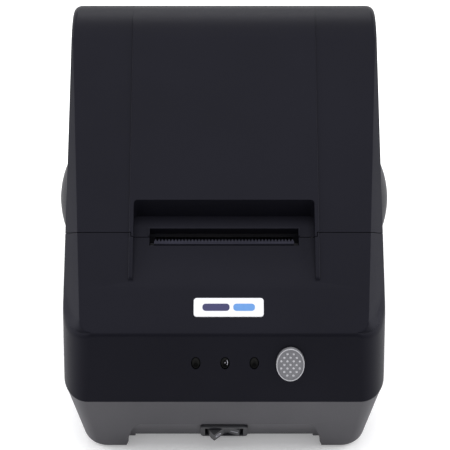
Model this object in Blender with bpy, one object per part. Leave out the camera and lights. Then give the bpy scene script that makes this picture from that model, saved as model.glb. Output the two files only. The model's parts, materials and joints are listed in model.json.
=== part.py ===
"""A desktop receipt printer for 58 mm paper, with a lid that lifts for loading the roll.

Sizes are millimetres. Inside the shape functions x runs from left to right as seen from the
front, y runs from the front edge of the fascia to the back, and z up from the table.
place() turns such a point into metres with the origin under the middle of the printer.
"""

from math import atan2, cos, pi, radians, sin, tan

import bmesh
import bpy
from mathutils import Matrix, Vector

MM = 0.001
GAP = 0.3  # clearance between pieces that touch

# Outside of the casing
HALF_WIDTH = 70.0
DRAFT = 0.0165  # how much wider the sides grow towards the table
DRAFT_Z = 120.0  # above this the sides stay upright
DEPTH = 183.0
RIM_Z = 34.5  # where the upper housing meets the base
FASCIA_LEAN = radians(15.1)
FASCIA_HEIGHT = 33.0
SLOPE = radians(25.9)
SLOPE_LENGTH = 145.0
TOP_RADIUS = 30.6
WALL = 2.5
PANEL_HALF = 42.0  # raised band down the middle of the top
PANEL_RAISE = 1.0

# Paper recess, seam and slot
RECESS_HALF = 40.0
RECESS_START = 24.8  # along the slope from the brow
RECESS_SLOPE = radians(13.6)
RECESS_BACK_Y = 65.6
SEAM_TOP = (52.2, 87.5)
SEAM_FOOT = (82.8, 58.0)
SEAM_STEP = 2.6  # how much further forward the seam runs inside the recess
SLOT_HALF = 33.0
SLOT_BACK_Y = 58.8
SLOT_FRONT_Y = 50.0

# Lid hinge
HINGE = (176.0, 68.0)
BARREL_R = 7.0
EAR_R = 6.2
EAR_X = (50.0, 58.0)
PIN_R = 2.0

# Grips on the sides of the lid
GRIP = (86.4, 79.4)
GRIP_R = 17.4
GRIP_BULGE = 4.0

# Base
BASE_TOP = RIM_Z - GAP
BASE_BOTTOM = 0.4
FLOOR_Z = 3.6  # inside floor
BELLY_Z = 3.0  # underside between the legs
BELLY_HALF = 40.0
BELLY_BACK_Y = 150.0
UNDERCUT = radians(8.5)
SCOOP_TOP = (4.15, 16.7)
SCOOP_UNDERCUT = radians(29.0)
SCOOP_HALF = 34.8  # flat top of the arch
SCOOP_FOOT = 44.0

# Paper roll well
ROLL = (126.0, 72.0)
WELL_R = 41.5
WELL_HALF = 30.5
WELL_WALL = 2.0
SHELF_Z = (55.0, 57.0)

# Print mechanism
PLATEN = (61.0, 70.0)
PLATEN_R = 5.5
SHAFT_R = 2.5
MODULE = 0.75
PLATEN_TEETH, SMALL_TEETH, BIG_TEETH, MOTOR_TEETH = 18, 12, 28, 10
MESH_PLAY = 0.12
IDLER = (PLATEN[0], PLATEN[1] - (PLATEN_TEETH + SMALL_TEETH) / 2 * MODULE - MESH_PLAY)
MOTOR_ANGLE = radians(253.8)  # seen along x, from the idler to the motor
MOTOR_REACH = (BIG_TEETH + MOTOR_TEETH) / 2 * MODULE + MESH_PLAY
MOTOR = (IDLER[0] + MOTOR_REACH * cos(MOTOR_ANGLE), IDLER[1] + MOTOR_REACH * sin(MOTOR_ANGLE))
GEAR_INNER = (38.3, 42.7)
GEAR_OUTER = (43.0, 46.2)
FRAME_SIDE = (34.0, 36.0)
HEAD_PIVOT = (52.4, 58.0)

# Main board
BOARD_Z = (12.0, 13.6)
BOARD_HALF = 40.0
BOARD_Y = (36.0, 166.0)

# Control panel on the fascia: x, and height up the fascia
LED_X = {"led_power": -12.3, "led_error": 0.4, "led_paper": 13.1}
LED_UP = 19.2
LED_SIZE = (1.75, 2.75)
BUTTON = (28.8, 19.0)
BUTTON_SIZE = (6.2, 8.1)
BUTTON_TRAVEL = 1.0
LABEL = (2.0, 12.8)  # x, and distance up the slope
LABEL_SIZE = (30.4, 8.8)

# Power switch
SWITCH_DROP = 7.7  # from the top of the scoop to the middle of the switch
BEZEL = (21.0, 14.5)
ROCKER_TILT = radians(12.0)

for leftover in list(bpy.data.objects):
    bpy.data.objects.remove(leftover)


# ---------------------------------------------------------------- shapes

def fillet(before, corner, after, radius, steps):
    """Points of an arc of this radius that rounds a corner of an outline."""
    a, b, c = Vector(before), Vector(corner), Vector(after)
    u, v = (a - b).normalized(), (c - b).normalized()
    half = u.angle(v) / 2
    centre = b + (u + v).normalized() * radius / sin(half)
    start, end = b + u * radius / tan(half) - centre, b + v * radius / tan(half) - centre
    turn = start.angle_signed(end)
    return [tuple(centre + Matrix.Rotation(-turn * i / steps, 2) @ start) for i in range(steps + 1)]


def circle(centre, radius, steps):
    return oval(centre, (radius, radius), steps)


def oval(centre, radii, steps):
    angles = [2 * pi * i / steps for i in range(steps)]
    return [(centre[0] + radii[0] * cos(a), centre[1] + radii[1] * sin(a)) for a in angles]


def rounded(lo, hi, radius, steps=3):
    """A rectangle's outline with round corners."""
    corners = [(lo[0], lo[1]), (hi[0], lo[1]), (hi[0], hi[1]), (lo[0], hi[1])]
    out = []
    for i, corner in enumerate(corners):
        out += fillet(corners[i - 1], corner, corners[(i + 1) % 4], radius, steps)
    return out


def loft(rings):
    """A closed solid through rings with the same number of points."""
    count = len(rings[0])
    points = [point for ring in rings for point in ring]
    faces = [tuple(range(count)), tuple(range(len(points) - count, len(points)))]
    for level in range(len(rings) - 1):
        low, high = level * count, (level + 1) * count
        for i in range(count):
            j = (i + 1) % count
            faces.append((low + i, low + j, high + j, high + i))
    return points, faces


def prism(outline, lo, hi, axis="x"):
    """An outline pushed along an axis; the outline's two numbers are the other two axes."""
    def point(level, pair):
        if axis == "x":
            return (level, *pair)
        return (*pair, level) if axis == "z" else (pair[0], level, pair[1])
    return loft([[point(level, pair) for pair in outline] for level in (lo, hi)])


def box(x, y, z):
    return prism([(x[0], y[0]), (x[1], y[0]), (x[1], y[1]), (x[0], y[1])], z[0], z[1], "z")


def rod(centre, radius, lo, hi, axis="x", steps=16):
    return prism(circle(centre, radius, steps), lo, hi, axis)


def both_sides(shape):
    points, faces = shape
    mirrored = [(-x, y, z) for x, y, z in points], [face[::-1] for face in faces]
    return together(shape, mirrored)


def together(*shapes):
    points, faces = [], []
    for more, polygons in shapes:
        faces += [tuple(i + len(points) for i in face) for face in polygons]
        points += more
    return points, faces


def laid(shape, frame):
    """The shape moved by a matrix in millimetres."""
    return [tuple(frame @ Vector(point)) for point in shape[0]], shape[1]


def gear(centre, teeth, x, phase):
    """A spur wheel's solid; one of its teeth points along the phase angle."""
    pitch = teeth * MODULE / 2
    root, tip = pitch - 1.15 * MODULE, pitch + 0.92 * MODULE
    step = 2 * pi / teeth
    outline = []
    for i in range(teeth):
        middle = phase + i * step
        for radius, part in ((root, -0.36), (tip, -0.13), (tip, 0.13), (root, 0.36)):
            angle = middle + part * step
            outline.append((centre[0] + radius * cos(angle), centre[1] + radius * sin(angle)))
    return prism(outline, *x)


def tube(outer, inner, lo, hi):
    """A solid along x between two outlines with the same number of points."""
    rings = [(lo, outer), (hi, outer), (hi, inner), (lo, inner)]
    count = len(outer)
    points = [(x, *pair) for x, outline in rings for pair in outline]
    faces = []
    for level in range(4):
        low, high = level * count, (level + 1) % 4 * count
        for i in range(count):
            j = (i + 1) % count
            faces.append((low + i, low + j, high + j, high + i))
    return points, faces


# ---------------------------------------------------------------- objects

def place(point):
    return Vector((point[0] * MM, (point[1] - DEPTH / 2) * MM, point[2] * MM))


def mesh_of(name, shape, pivot):
    mesh = bpy.data.meshes.new(name)
    origin = place(pivot)
    mesh.from_pydata([place(point) - origin for point in shape[0]], [], shape[1])
    work = bmesh.new()
    work.from_mesh(mesh)
    bmesh.ops.recalc_face_normals(work, faces=work.faces)
    work.to_mesh(mesh)
    work.free()
    mesh.shade_smooth()
    mesh.set_sharp_from_angle(angle=radians(35))
    return mesh


def material(name, colour, roughness, metallic=0.0):
    made = bpy.data.materials.new(name)
    made.use_nodes = True
    shader = made.node_tree.nodes["Principled BSDF"]
    shader.inputs["Base Color"].default_value = (*colour, 1.0)
    shader.inputs["Roughness"].default_value = roughness
    shader.inputs["Metallic"].default_value = metallic
    return made


CASE = material("moulded_abs", (0.022, 0.022, 0.028), 0.5)
BASE_ABS = material("base_abs", (0.045, 0.044, 0.05), 0.6)
DARK_ABS = material("inner_abs", (0.016, 0.016, 0.018), 0.6)
RUBBER = material("black_rubber", (0.012, 0.012, 0.012), 0.85)
GREY_ABS = material("grey_abs", (0.27, 0.27, 0.29), 0.45)
LENS = material("smoked_lens", (0.01, 0.01, 0.012), 0.15)
LABEL_VINYL = material("label_vinyl", (0.8, 0.8, 0.8), 0.35)
BOARD = material("green_board", (0.02, 0.12, 0.05), 0.4)
STEEL = material("zinc_steel", (0.55, 0.55, 0.55), 0.3, 1.0)
ALUMINIUM = material("aluminium", (0.7, 0.7, 0.72), 0.35, 1.0)
CERAMIC = material("head_ceramic", (0.25, 0.27, 0.3), 0.25)
ACETAL = material("white_acetal", (0.7, 0.7, 0.66), 0.4)
CONNECTOR = material("connector_nylon", (0.02, 0.02, 0.02), 0.5)

pivots = {}


def pivot_empty(name, point):
    empty = bpy.data.objects.new(name, None)
    empty.location = place(point)
    empty.empty_display_size = 0.01
    bpy.context.collection.objects.link(empty)
    pivots[name] = (empty, point)
    return name


def node(name, shape, finish, on=None):
    """One sub-part. A moving one hangs from the empty on its joint's axis."""
    empty, pivot = pivots[on] if on else (None, (0.0, DEPTH / 2, 0.0))
    made = bpy.data.objects.new(name, mesh_of(name, shape, pivot))
    made.data.materials.append(finish)
    made.parent = empty
    bpy.context.collection.objects.link(made)
    return made


def tool(name, shape):
    """A hidden shape that Booleans cut with or join."""
    made = bpy.data.objects.new(name, mesh_of(name, shape, (0.0, DEPTH / 2, 0.0)))
    made.hide_render = True
    made.display_type = "WIRE"
    bpy.context.collection.objects.link(made)
    return made


def boolean(target, operation, shape, label):
    helper = shape if isinstance(shape, bpy.types.Object) else tool(f"{label}_{target.name}", shape)
    step = target.modifiers.new(label, "BOOLEAN")
    step.operation = operation
    step.object = helper
    return helper


def cut(target, shape, label="cut"):
    return boolean(target, "DIFFERENCE", shape, label)


def join(target, shape, label="join"):
    return boolean(target, "UNION", shape, label)


def keep(target, shape, label="keep"):
    return boolean(target, "INTERSECT", shape, label)


# ---------------------------------------------------------------- outer form

BROW = (FASCIA_HEIGHT * sin(FASCIA_LEAN), RIM_Z + FASCIA_HEIGHT * cos(FASCIA_LEAN))
ALONG = Vector((cos(SLOPE), sin(SLOPE)))
ABOVE = Vector((-sin(SLOPE), cos(SLOPE)))


def on_slope(distance, lift=0.0):
    return Vector(BROW) + ALONG * distance + ABOVE * lift


ARC_CENTRE = on_slope(SLOPE_LENGTH, -TOP_RADIUS)
SLOPE_STOPS = (6.0, 14.0, 30.0, SLOPE_LENGTH)


def meet(point_a, way_a, point_b, way_b):
    """Where two lines cross."""
    across = way_a.x * way_b.y - way_a.y * way_b.x
    gap = point_b - point_a
    return point_a + way_a * ((gap.x * way_b.y - gap.y * way_b.x) / across)


def casing_ring(turn, wall, bottom):
    """A ring of the casing's skin, from the side face (turn 1) to the flat top (turn 0)."""
    arc = (sin(turn * pi / 2), 1 - cos(turn * pi / 2))
    reach = HALF_WIDTH - wall

    def spread(inner, soft):
        inner -= wall
        return inner + (reach - inner) * (soft * arc[0] + (1 - soft) * turn)

    def sink(depth, soft):
        return wall + depth * (soft * arc[1] + (1 - soft) * turn)

    lean = Vector((sin(FASCIA_LEAN), cos(FASCIA_LEAN)))
    inward = Vector((cos(FASCIA_LEAN), -sin(FASCIA_LEAN)))
    front = Vector((0.0, RIM_Z)) + inward * sink(17.0, 1.0)
    slope_at = on_slope(0.0, -sink(7.2, 1.0))
    brow = meet(front, lean, slope_at, ALONG)
    foot = front + lean * ((bottom - front.y) / lean.y)
    ring = [(spread(60.0, 1.0), *foot)]
    for i, pair in enumerate(fillet(foot, brow, brow + ALONG * 10, 2.5, 4)):
        ring.append((spread(60.0 + i * 0.5, 1.0), *pair))
    start = (Vector(brow) - Vector(BROW)).dot(ALONG)
    for stop in SLOPE_STOPS:
        distance = start + (SLOPE_LENGTH - start) * stop / SLOPE_LENGTH
        share = stop / SLOPE_LENGTH
        soft = max(0.0, 1 - stop / 14.0)
        pair = on_slope(distance, -sink(7.2 - 6.0 * share, soft))
        ring.append((spread(62.0 + 7.2 * share, soft), *pair))
    steps = 12
    for i in range(1, steps + 1):
        angle = pi / 2 + SLOPE - (pi / 2 + SLOPE) * i / steps
        round_off = min(1.0, 2 * i / steps)
        radius = TOP_RADIUS - sink(1.2 + 1.8 * round_off, round_off)
        x = spread(69.2 - 3.2 * round_off, round_off)
        ring.append((x, ARC_CENTRE.x + radius * cos(angle), ARC_CENTRE.y + radius * sin(angle)))
    ring.append((spread(66.0, 1.0), DEPTH - sink(3.0, 1.0), bottom))
    return [(x * (1 + DRAFT * max(0.0, 1 - z / DRAFT_Z)), y, z) for x, y, z in ring]


def casing(wall=0.0, bottom=RIM_Z, steps=5):
    half = [casing_ring(i / steps, wall, bottom) for i in range(steps, -1, -1)]
    rest = [[(-x, y, z) for x, y, z in ring] for ring in half[::-1]]
    return loft(half + rest)


def recess(drop, half, overcut):
    """The sunken paper exit: a floor flatter than the slope, and an upright back wall."""
    start = on_slope(RECESS_START, -drop)
    back = RECESS_BACK_Y + drop
    end = (back, start.y + (back - start.x) * tan(RECESS_SLOPE))
    early = start - Vector((cos(RECESS_SLOPE), sin(RECESS_SLOPE))) * overcut
    outline = [tuple(early), end, (back, 125.0), (early.x, 125.0)]
    return prism(outline, -half, half)


def floor_z(y):
    start = on_slope(RECESS_START)
    return start.y + (y - start.x) * tan(RECESS_SLOPE)


def panel_band():
    """The raised band, which fades into the round top."""
    steps = 8
    top = []
    for i in range(steps + 1):
        angle = pi / 2 + SLOPE - radians(62) * i / steps
        radius = TOP_RADIUS + PANEL_RAISE * (1 - i / steps) - 0.2 * i / steps
        top.append((ARC_CENTRE.x + radius * cos(angle), ARC_CENTRE.y + radius * sin(angle)))
    start = [tuple(on_slope(24.6, -0.2)), tuple(on_slope(27.0, PANEL_RAISE))]
    under = [tuple(on_slope(SLOPE_LENGTH, -2.0)), tuple(on_slope(24.6, -2.0))]
    return prism(start + top + under, -PANEL_HALF, PANEL_HALF)


def lid_region(shrink):
    """Outline of the space that the lid takes, seen from the side.

    A positive shrink gives the lid itself, whose barrel is round; a negative one gives the space
    that the housing leaves, which stays open below the barrel so that the lid's back can swing in.
    """
    along = (Vector(SEAM_FOOT) - Vector(SEAM_TOP)).normalized()
    away = Vector((-along.y, along.x)) * shrink
    floor = SEAM_FOOT[1] + shrink
    top = Vector(SEAM_TOP) - along * 25 + away
    foot = meet(top, along, Vector((0.0, floor)), Vector((1.0, 0.0)))
    barrel = [
        (HINGE[0] + BARREL_R * sin(pi / 2 * i / 6), HINGE[1] - BARREL_R * cos(pi / 2 * i / 6))
        for i in range(7)
    ]
    barrel.append((200.0, HINGE[1]))
    if shrink < 0:
        barrel = [(200.0, HINGE[1] - BARREL_R - GAP)]
    step = [(160.0 - shrink, floor), (163.0 - shrink, barrel[0][1])]
    return [tuple(top), tuple(foot)] + step + barrel + [(200.0, 150.0), (top.x, 150.0)]


def frame_of(origin, x, y, z):
    """The matrix whose columns are three directions and an origin."""
    rows = zip(x, y, z, origin)
    return Matrix((*rows, (0.0, 0.0, 0.0, 1.0)))


# x runs across, y up the fascia from its bottom edge, and z into the casing.
FASCIA = frame_of(
    (0.0, 0.0, RIM_Z), (1.0, 0.0, 0.0),
    (0.0, sin(FASCIA_LEAN), cos(FASCIA_LEAN)), (0.0, cos(FASCIA_LEAN), -sin(FASCIA_LEAN)),
)
DECK = frame_of((0.0, *BROW), (1.0, 0.0, 0.0), (0.0, *ALONG), (0.0, *ABOVE))
SWITCH_DOWN = Vector((0.0, sin(SCOOP_UNDERCUT), -cos(SCOOP_UNDERCUT)))
SWITCH_IN = Vector((0.0, cos(SCOOP_UNDERCUT), sin(SCOOP_UNDERCUT)))
SWITCH_AT = Vector((0.0, *SCOOP_TOP)) + SWITCH_DOWN * SWITCH_DROP
SWITCH = frame_of(SWITCH_AT, (1.0, 0.0, 0.0), -SWITCH_DOWN, SWITCH_IN)


# ---------------------------------------------------------------- lid and upper housing

hinge_axis = pivot_empty("cover_hinge", (0.0, *HINGE))

hollow = tool("casing_hollow", casing(WALL, RIM_Z - 8))
cut(hollow, recess(WALL, RECESS_HALF + 2.6, 8.0), "recess_floor")

SCREW_POSTS = {"front": (52.0, 34.0), "rear": (54.0, 150.0)}


def rough_casing(name, on=None):
    made = node(name, casing(), CASE, on)
    join(made, panel_band(), "band")
    cut(made, recess(0.0, RECESS_HALF, 0.0), "recess")
    cut(made, hollow, "hollow")
    return made


def seam_y(z):
    """Where the leaning part of the seam runs at a height."""
    run = (SEAM_FOOT[0] - SEAM_TOP[0]) / (SEAM_FOOT[1] - SEAM_TOP[1])
    return SEAM_TOP[0] + (z - SEAM_TOP[1]) * run


def lid_space(name, shrink):
    """The space of the lid: inside the recess its edge runs further forward than on the deck."""
    whole = tool(name, prism(lid_region(shrink), -100, 100))
    shift = 1.4 * shrink - SEAM_STEP
    step = [(seam_y(z) + offset, z) for z, offset in ((75.0, shift), (75.0, 3.0), (97.0, 3.0), (97.0, shift))]
    join(whole, prism(step, -RECESS_HALF - 1 + shrink, RECESS_HALF + 1 - shrink), "step")
    return whole


cover = rough_casing("cover_shell", hinge_axis)
keep(cover, lid_space("lid_space", GAP / 2), "lid")
cut(cover, prism([(40, 60), (SLOT_BACK_Y, 60), (SLOT_BACK_Y, 100), (40, 100)], -SLOT_HALF, SLOT_HALF), "slot")

grip_ball = (GRIP_R**2 + GRIP_BULGE**2) / (2 * GRIP_BULGE)
grip_rings = [[(66.0, *pair) for pair in circle(GRIP, GRIP_R, 28)]]
for i in range(5):
    out = GRIP_BULGE * i / 5 if i else 0.0
    spread = (grip_ball**2 - (grip_ball - GRIP_BULGE + out) ** 2) ** 0.5
    grip_rings.append([(HALF_WIDTH + out, *pair) for pair in circle(GRIP, spread, 28)])
grip_rings.append([(HALF_WIDTH + GRIP_BULGE, *pair) for pair in circle(GRIP, 2.5, 28)])
join(cover, both_sides(loft(grip_rings)), "grips")

BOSS_Y = 74.0
COVER_BOSS_X = 26.0
join(
    cover,
    together(
        rod(HINGE, BARREL_R - 0.01, -69.0, 69.0, steps=24),
        both_sides(rod((COVER_BOSS_X, BOSS_Y), 3.5, 81.0, 96.0, "z", 12)),
    ),
    "barrel_and_bosses",
)
ear_space = box((EAR_X[0] - 0.5, EAR_X[1] + 0.5), (167.0, 186.0), (60.0, 75.5))
pin_bore = rod(HINGE, PIN_R + GAP, 44.0, 63.0, steps=12)
cut(cover, both_sides(ear_space), "ear_space")
cut(
    cover,
    together(
        both_sides(pin_bore),
        both_sides(rod((COVER_BOSS_X, BOSS_Y), 1.6, 70.0, 90.0, "z", 12)),
    ),
    "bores",
)

housing = rough_casing("upper_housing")
cut(housing, lid_space("lid_room", -GAP / 2), "lid_space")
cut(
    housing,
    prism([(SLOT_FRONT_Y, 60), (80, 60), (80, 100), (SLOT_FRONT_Y, 100)], -SLOT_HALF, SLOT_HALF),
    "slot",
)
ear = circle(HINGE, EAR_R, 20)
ear_root = [
    (HINGE[0] - EAR_R, 52.0), (DEPTH - 1.0, 52.0), (HINGE[0] + EAR_R, HINGE[1]), (HINGE[0] - EAR_R, HINGE[1]),
]
posts = []
for label, (x, y) in SCREW_POSTS.items():
    top = 76.0 if label == "front" else SHELF_Z[0] - GAP
    posts.append(both_sides(rod((x, y), 4.0, RIM_Z, top, "z", 12)))
rear_webs = both_sides(box((54.0, 69.0), (148.5, 151.5), (RIM_Z, SHELF_Z[0] - GAP)))
panel_posts = together(
    *(laid(rod((x, up), 2.6, WALL - 1.0, 9.2, "z", 12), FASCIA) for x, up in ((-20.0, 9.0), (40.0, 27.0)))
)
join(housing, both_sides(prism(ear, *EAR_X)), "ears")
join(housing, both_sides(prism(ear_root, *EAR_X)), "ear_roots")
join(housing, together(*posts), "posts")
join(housing, rear_webs, "rear_webs")
join(housing, panel_posts, "panel_posts")
screw_holes = [both_sides(rod(at, 1.6, RIM_Z - 2, 50.0, "z", 12)) for at in SCREW_POSTS.values()]
button_room = oval(BUTTON, (BUTTON_SIZE[0] + GAP, BUTTON_SIZE[1] + GAP), 28)
panel_holes = [laid(prism(button_room, -3, 4, "z"), FASCIA)]
for x in LED_X.values():
    around = (LED_SIZE[0] + GAP, LED_SIZE[1] + GAP)
    panel_holes.append(laid(prism(oval((x, LED_UP), around, 16), -3, 4, "z"), FASCIA))
label_lo = (LABEL[0] - LABEL_SIZE[0] / 2 - GAP, LABEL[1] - LABEL_SIZE[1] / 2 - GAP)
label_hi = (LABEL[0] + LABEL_SIZE[0] / 2 + GAP, LABEL[1] + LABEL_SIZE[1] / 2 + GAP)
label_seat = laid(prism(rounded(label_lo, label_hi, 1.6), -0.6, 2.0, "z"), DECK)
cut(housing, together(both_sides(pin_bore), label_seat, *screw_holes, *panel_holes), "holes")

plate_lo = (LABEL[0] - LABEL_SIZE[0] / 2, LABEL[1] - LABEL_SIZE[1] / 2)
plate_hi = (LABEL[0] + LABEL_SIZE[0] / 2, LABEL[1] + LABEL_SIZE[1] / 2)
plate = prism(rounded(plate_lo, plate_hi, 1.4, 5), -0.3, 0.3, "z")
node("badge_plate", laid(plate, DECK), LABEL_VINYL)

for side, name in ((-1, "hinge_pin_left"), (1, "hinge_pin_right")):
    node(name, rod(HINGE, PIN_R, side * 45.0, side * 62.0, steps=12), STEEL)

# The tear bar: a leaning strip with saw teeth along its rear edge, on a foot behind the slot's lip.
TEAR_HALF = 30.9
TEETH = 42
TEAR_LEAN = radians(20)
TEAR_FOOT_Y = (SLOT_FRONT_Y + GAP, SLOT_FRONT_Y + 1.3)
TEAR = frame_of(
    (0.0, SLOT_FRONT_Y + 0.5, floor_z(SLOT_FRONT_Y) + 0.5), (1.0, 0.0, 0.0),
    (0.0, cos(TEAR_LEAN), sin(TEAR_LEAN)), (0.0, -sin(TEAR_LEAN), cos(TEAR_LEAN)),
)
pitch = 2 * TEAR_HALF / TEETH
saw = [(TEAR_HALF, 0.0), (-TEAR_HALF, 0.0)]
for i in range(TEETH):
    left = -TEAR_HALF + i * pitch
    saw += [(left + 0.12 * pitch, 1.7), (left + 0.5 * pitch, 2.6), (left + 0.88 * pitch, 1.7)]
tear_bar = node("tear_bar", laid(prism(saw, -0.6, 0.0, "z"), TEAR), STEEL)
tear_foot_top = floor_z(SLOT_FRONT_Y) + 0.35
join(tear_bar, box((-TEAR_HALF, TEAR_HALF), TEAR_FOOT_Y, (tear_foot_top - 5.0, tear_foot_top)), "foot")


# ---------------------------------------------------------------- base

def base_ring(z, half, front, back, wide, deep):
    """A round-cornered ring. Its front corners are deep and wide, its rear ones small."""
    rear = 0.65 * wide
    corners = [(1, front, wide, deep), (1, back, rear, rear), (-1, back, rear, rear), (-1, front, wide, deep)]
    ring = []
    for side, y, across, along in corners:
        way = 1 if y == front else -1
        turns = [i * pi / 10 for i in range(6)]
        arc = [
            (side * (half - across * (1 - sin(a))), y + way * along * (1 - cos(a)), z) for a in turns
        ]
        ring += arc if side * way > 0 else arc[::-1]
    return ring


def base_levels(bottom, top, inset=0.0):
    """Rings of the base: leaning walls, and a round edge at the bottom."""
    def ring(z, inward):
        drop = (BASE_TOP - z) * tan(UNDERCUT)
        half = HALF_WIDTH + 0.5 - (BASE_TOP - z) * 0.255 - inward - inset
        high = max(0.0, min(1.0, z / BASE_TOP))
        wide, deep = 6.0 + 3.5 * high - inset, 8.5 + 7.0 * high - inset
        front = 1.5 + drop + 0.15 * inward + inset
        back = DEPTH - 1.5 - 0.25 * drop - inward - inset
        return base_ring(z, half, front, back, wide, deep)
    edge = 4.5
    turns = [pi / 8 * i for i in range(5)]
    return [ring(top, 0.0)] + [ring(bottom + edge * (1 - sin(a)), edge * (1 - cos(a))) for a in turns]


base = node("base_tray", loft(base_levels(BASE_BOTTOM, BASE_TOP)), BASE_ABS)
cavity = tool("base_cavity", loft(base_levels(FLOOR_Z, BASE_TOP + 6, WALL)))
cut(cavity, box((-46.0, 46.0), (-5.0, SCOOP_TOP[0] + 10.6), (0.0, 21.0)), "switch_wall")
belly_wall = box(
    (-BELLY_HALF - WALL, BELLY_HALF + WALL), (-6.0, BELLY_BACK_Y + WALL), (-1.0, BELLY_Z + WALL)
)
cut(cavity, belly_wall, "belly_wall")
cut(base, cavity, "hollow")
scoop = [(-SCOOP_FOOT, 0.0)]
for sign in (-1, 1):
    arc = [
        (sign * (SCOOP_HALF + 8.0 * sin(a)), SCOOP_TOP[1] + 0.5 - 13.0 * (1 - cos(a)))
        for a in (i * pi / 12 for i in range(7))
    ]
    scoop = scoop + (arc[::-1] if sign < 0 else arc)
scoop.append((SCOOP_FOOT, 0.0))
far = SWITCH_DOWN * 30
scoop_tool = tool("switch_scoop", prism(scoop, -20.0, 40.0, "y"))
slab = [
    (SCOOP_TOP[0] - 30, SCOOP_TOP[1] + 1.0),
    (SCOOP_TOP[0] - tan(SCOOP_UNDERCUT), SCOOP_TOP[1] + 1.0),
    (SCOOP_TOP[0] + far.y, SCOOP_TOP[1] + far.z),
    (SCOOP_TOP[0] - 30, SCOOP_TOP[1] + far.z),
]
keep(scoop_tool, prism(slab, -60, 60), "slab")
cut(base, scoop_tool, "scoop")
cut(base, box((-BELLY_HALF, BELLY_HALF), (2.0, BELLY_BACK_Y), (-2.0, BELLY_Z)), "belly")
# A plate behind the switch reaches a little below the edge of the scoop.
switch_plate = prism(rounded((-12.7, -9.4), (12.7, 0.0), 2.0), 0.3, 2.5, "z")
join(base, laid(switch_plate, SWITCH), "switch_plate")

BOARD_SCREWS = [(x, y) for x in (-34.0, 34.0) for y in (42.0, 156.0)]
FRAME_POST = (45.0, 58.0)
FOOT_AT = [(x, y) for x in (-50.0, 50.0) for y in (20.0, 166.0)]
FOOT_R = 6.0
standing = [rod(at, 3.4, FLOOR_Z - 1, BOARD_Z[0] - GAP, "z", 12) for at in BOARD_SCREWS]
standing.append(both_sides(rod(FRAME_POST, 4.0, FLOOR_Z - 1, 29.7, "z", 12)))
standing += [both_sides(rod(at, 4.0, FLOOR_Z - 1, BASE_TOP, "z", 12)) for at in SCREW_POSTS.values()]
join(base, together(*standing), "posts")
JACK = (-40.0, 14.2, 11.0)  # middle x, width, height
USB = (-14.0, 12.0, 11.0)
DRAWER = (14.0, 13.6, 13.0)
CONNECTOR_Y = (163.0, 179.6)
holes = [both_sides(rod(at, 1.8, -2, BASE_TOP + 2, "z", 12)) for at in SCREW_POSTS.values()]
heads = [both_sides(rod(at, 3.3, -2, FLOOR_Z + 14, "z", 12)) for at in SCREW_POSTS.values()]
taps = [rod(at, 1.2, FLOOR_Z + 1, 20.0, "z", 10) for at in BOARD_SCREWS]
taps.append(both_sides(rod(FRAME_POST, 1.2, FLOOR_Z + 6, 40.0, "z", 10)))
pockets = [rod(at, FOOT_R + GAP, -2.0, BASE_BOTTOM + 1.4, "z", 20) for at in FOOT_AT]
ports = []
for x, width, height in (JACK, USB, DRAWER):
    half = width / 2 + 0.4
    ports.append(box((x - half, x + half), (172.0, 190.0), (BOARD_Z[1], BOARD_Z[1] + height + 0.8)))
switch_hole = laid(box((-9.6, 9.6), (-6.6, 6.6), (-5.0, 30.0)), SWITCH)
cut(base, together(*holes), "screw_holes")
cut(base, together(*heads, *taps, *pockets), "wells")
cut(base, together(*ports, switch_hole), "ports")

for i, at in enumerate(FOOT_AT, 1):
    node(f"rubber_foot_{i}", rod(at, FOOT_R, 0.0, BASE_BOTTOM + 1.1, "z", 20), RUBBER)


def screw(name, at, head_z, head_r, shank_r, length, up, on=None):
    """A screw along z: its head at head_z, its shank going up or down from it."""
    sign = 1 if up else -1
    stops = ((0, head_r), (1.6, head_r), (1.6, shank_r), (length, shank_r), (length + 0.6, shank_r / 2))
    rings = [[(*pair, head_z + sign * rise) for pair in circle(at, radius, 10)] for rise, radius in stops]
    return node(name, loft(rings), STEEL, on)


number = 0
for x, y in SCREW_POSTS.values():
    for side in (-1, 1):
        number += 1
        screw(f"base_screw_{number}", (side * x, y), FLOOR_Z + 14 - 1.9, 2.7, 1.3, 26.0, True)


# ---------------------------------------------------------------- electronics

board = node("main_board", box((-BOARD_HALF, BOARD_HALF), BOARD_Y, BOARD_Z), BOARD)
chips = together(
    box((-12.0, 2.0), (96.0, 110.0), (BOARD_Z[1] - 0.2, BOARD_Z[1] + 1.4)),
    box((12.0, 24.0), (100.0, 106.0), (BOARD_Z[1] - 0.2, BOARD_Z[1] + 1.6)),
    rod((-28.0, 136.0), 5.0, BOARD_Z[1] - 0.2, BOARD_Z[1] + 10.0, "z", 16),
    rod((-28.0, 124.0), 4.0, BOARD_Z[1] - 0.2, BOARD_Z[1] + 8.0, "z", 16),
    box((20.0, 34.0), (124.0, 136.0), (BOARD_Z[1] - 0.2, BOARD_Z[1] + 5.0)),
    box((-30.0, -14.0), (60.0, 64.0), (BOARD_Z[1] - 0.2, BOARD_Z[1] + 5.0)),
    box((4.0, 22.0), (72.0, 76.0), (BOARD_Z[1] - 0.2, BOARD_Z[1] + 3.0)),
)
join(board, chips, "chips")
cut(board, together(*(rod(at, 1.7, 5.0, 20.0, "z", 10) for at in BOARD_SCREWS)), "screw_holes")
for i, at in enumerate(BOARD_SCREWS, 1):
    screw(f"board_screw_{i}", at, BOARD_Z[1] + GAP + 1.6, 2.6, 0.9, 5.5, False)


def socket(name, port, mouth, finish, extra=None):
    """A board-mounted connector whose mouth looks out at the back."""
    x, width, height = port
    base_z = BOARD_Z[1] + GAP
    made = node(name, box((x - width / 2, x + width / 2), CONNECTOR_Y, (base_z, base_z + height)), finish)
    cut(made, mouth, "mouth")
    if extra:
        join(made, extra, "contacts")
    return made


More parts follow.
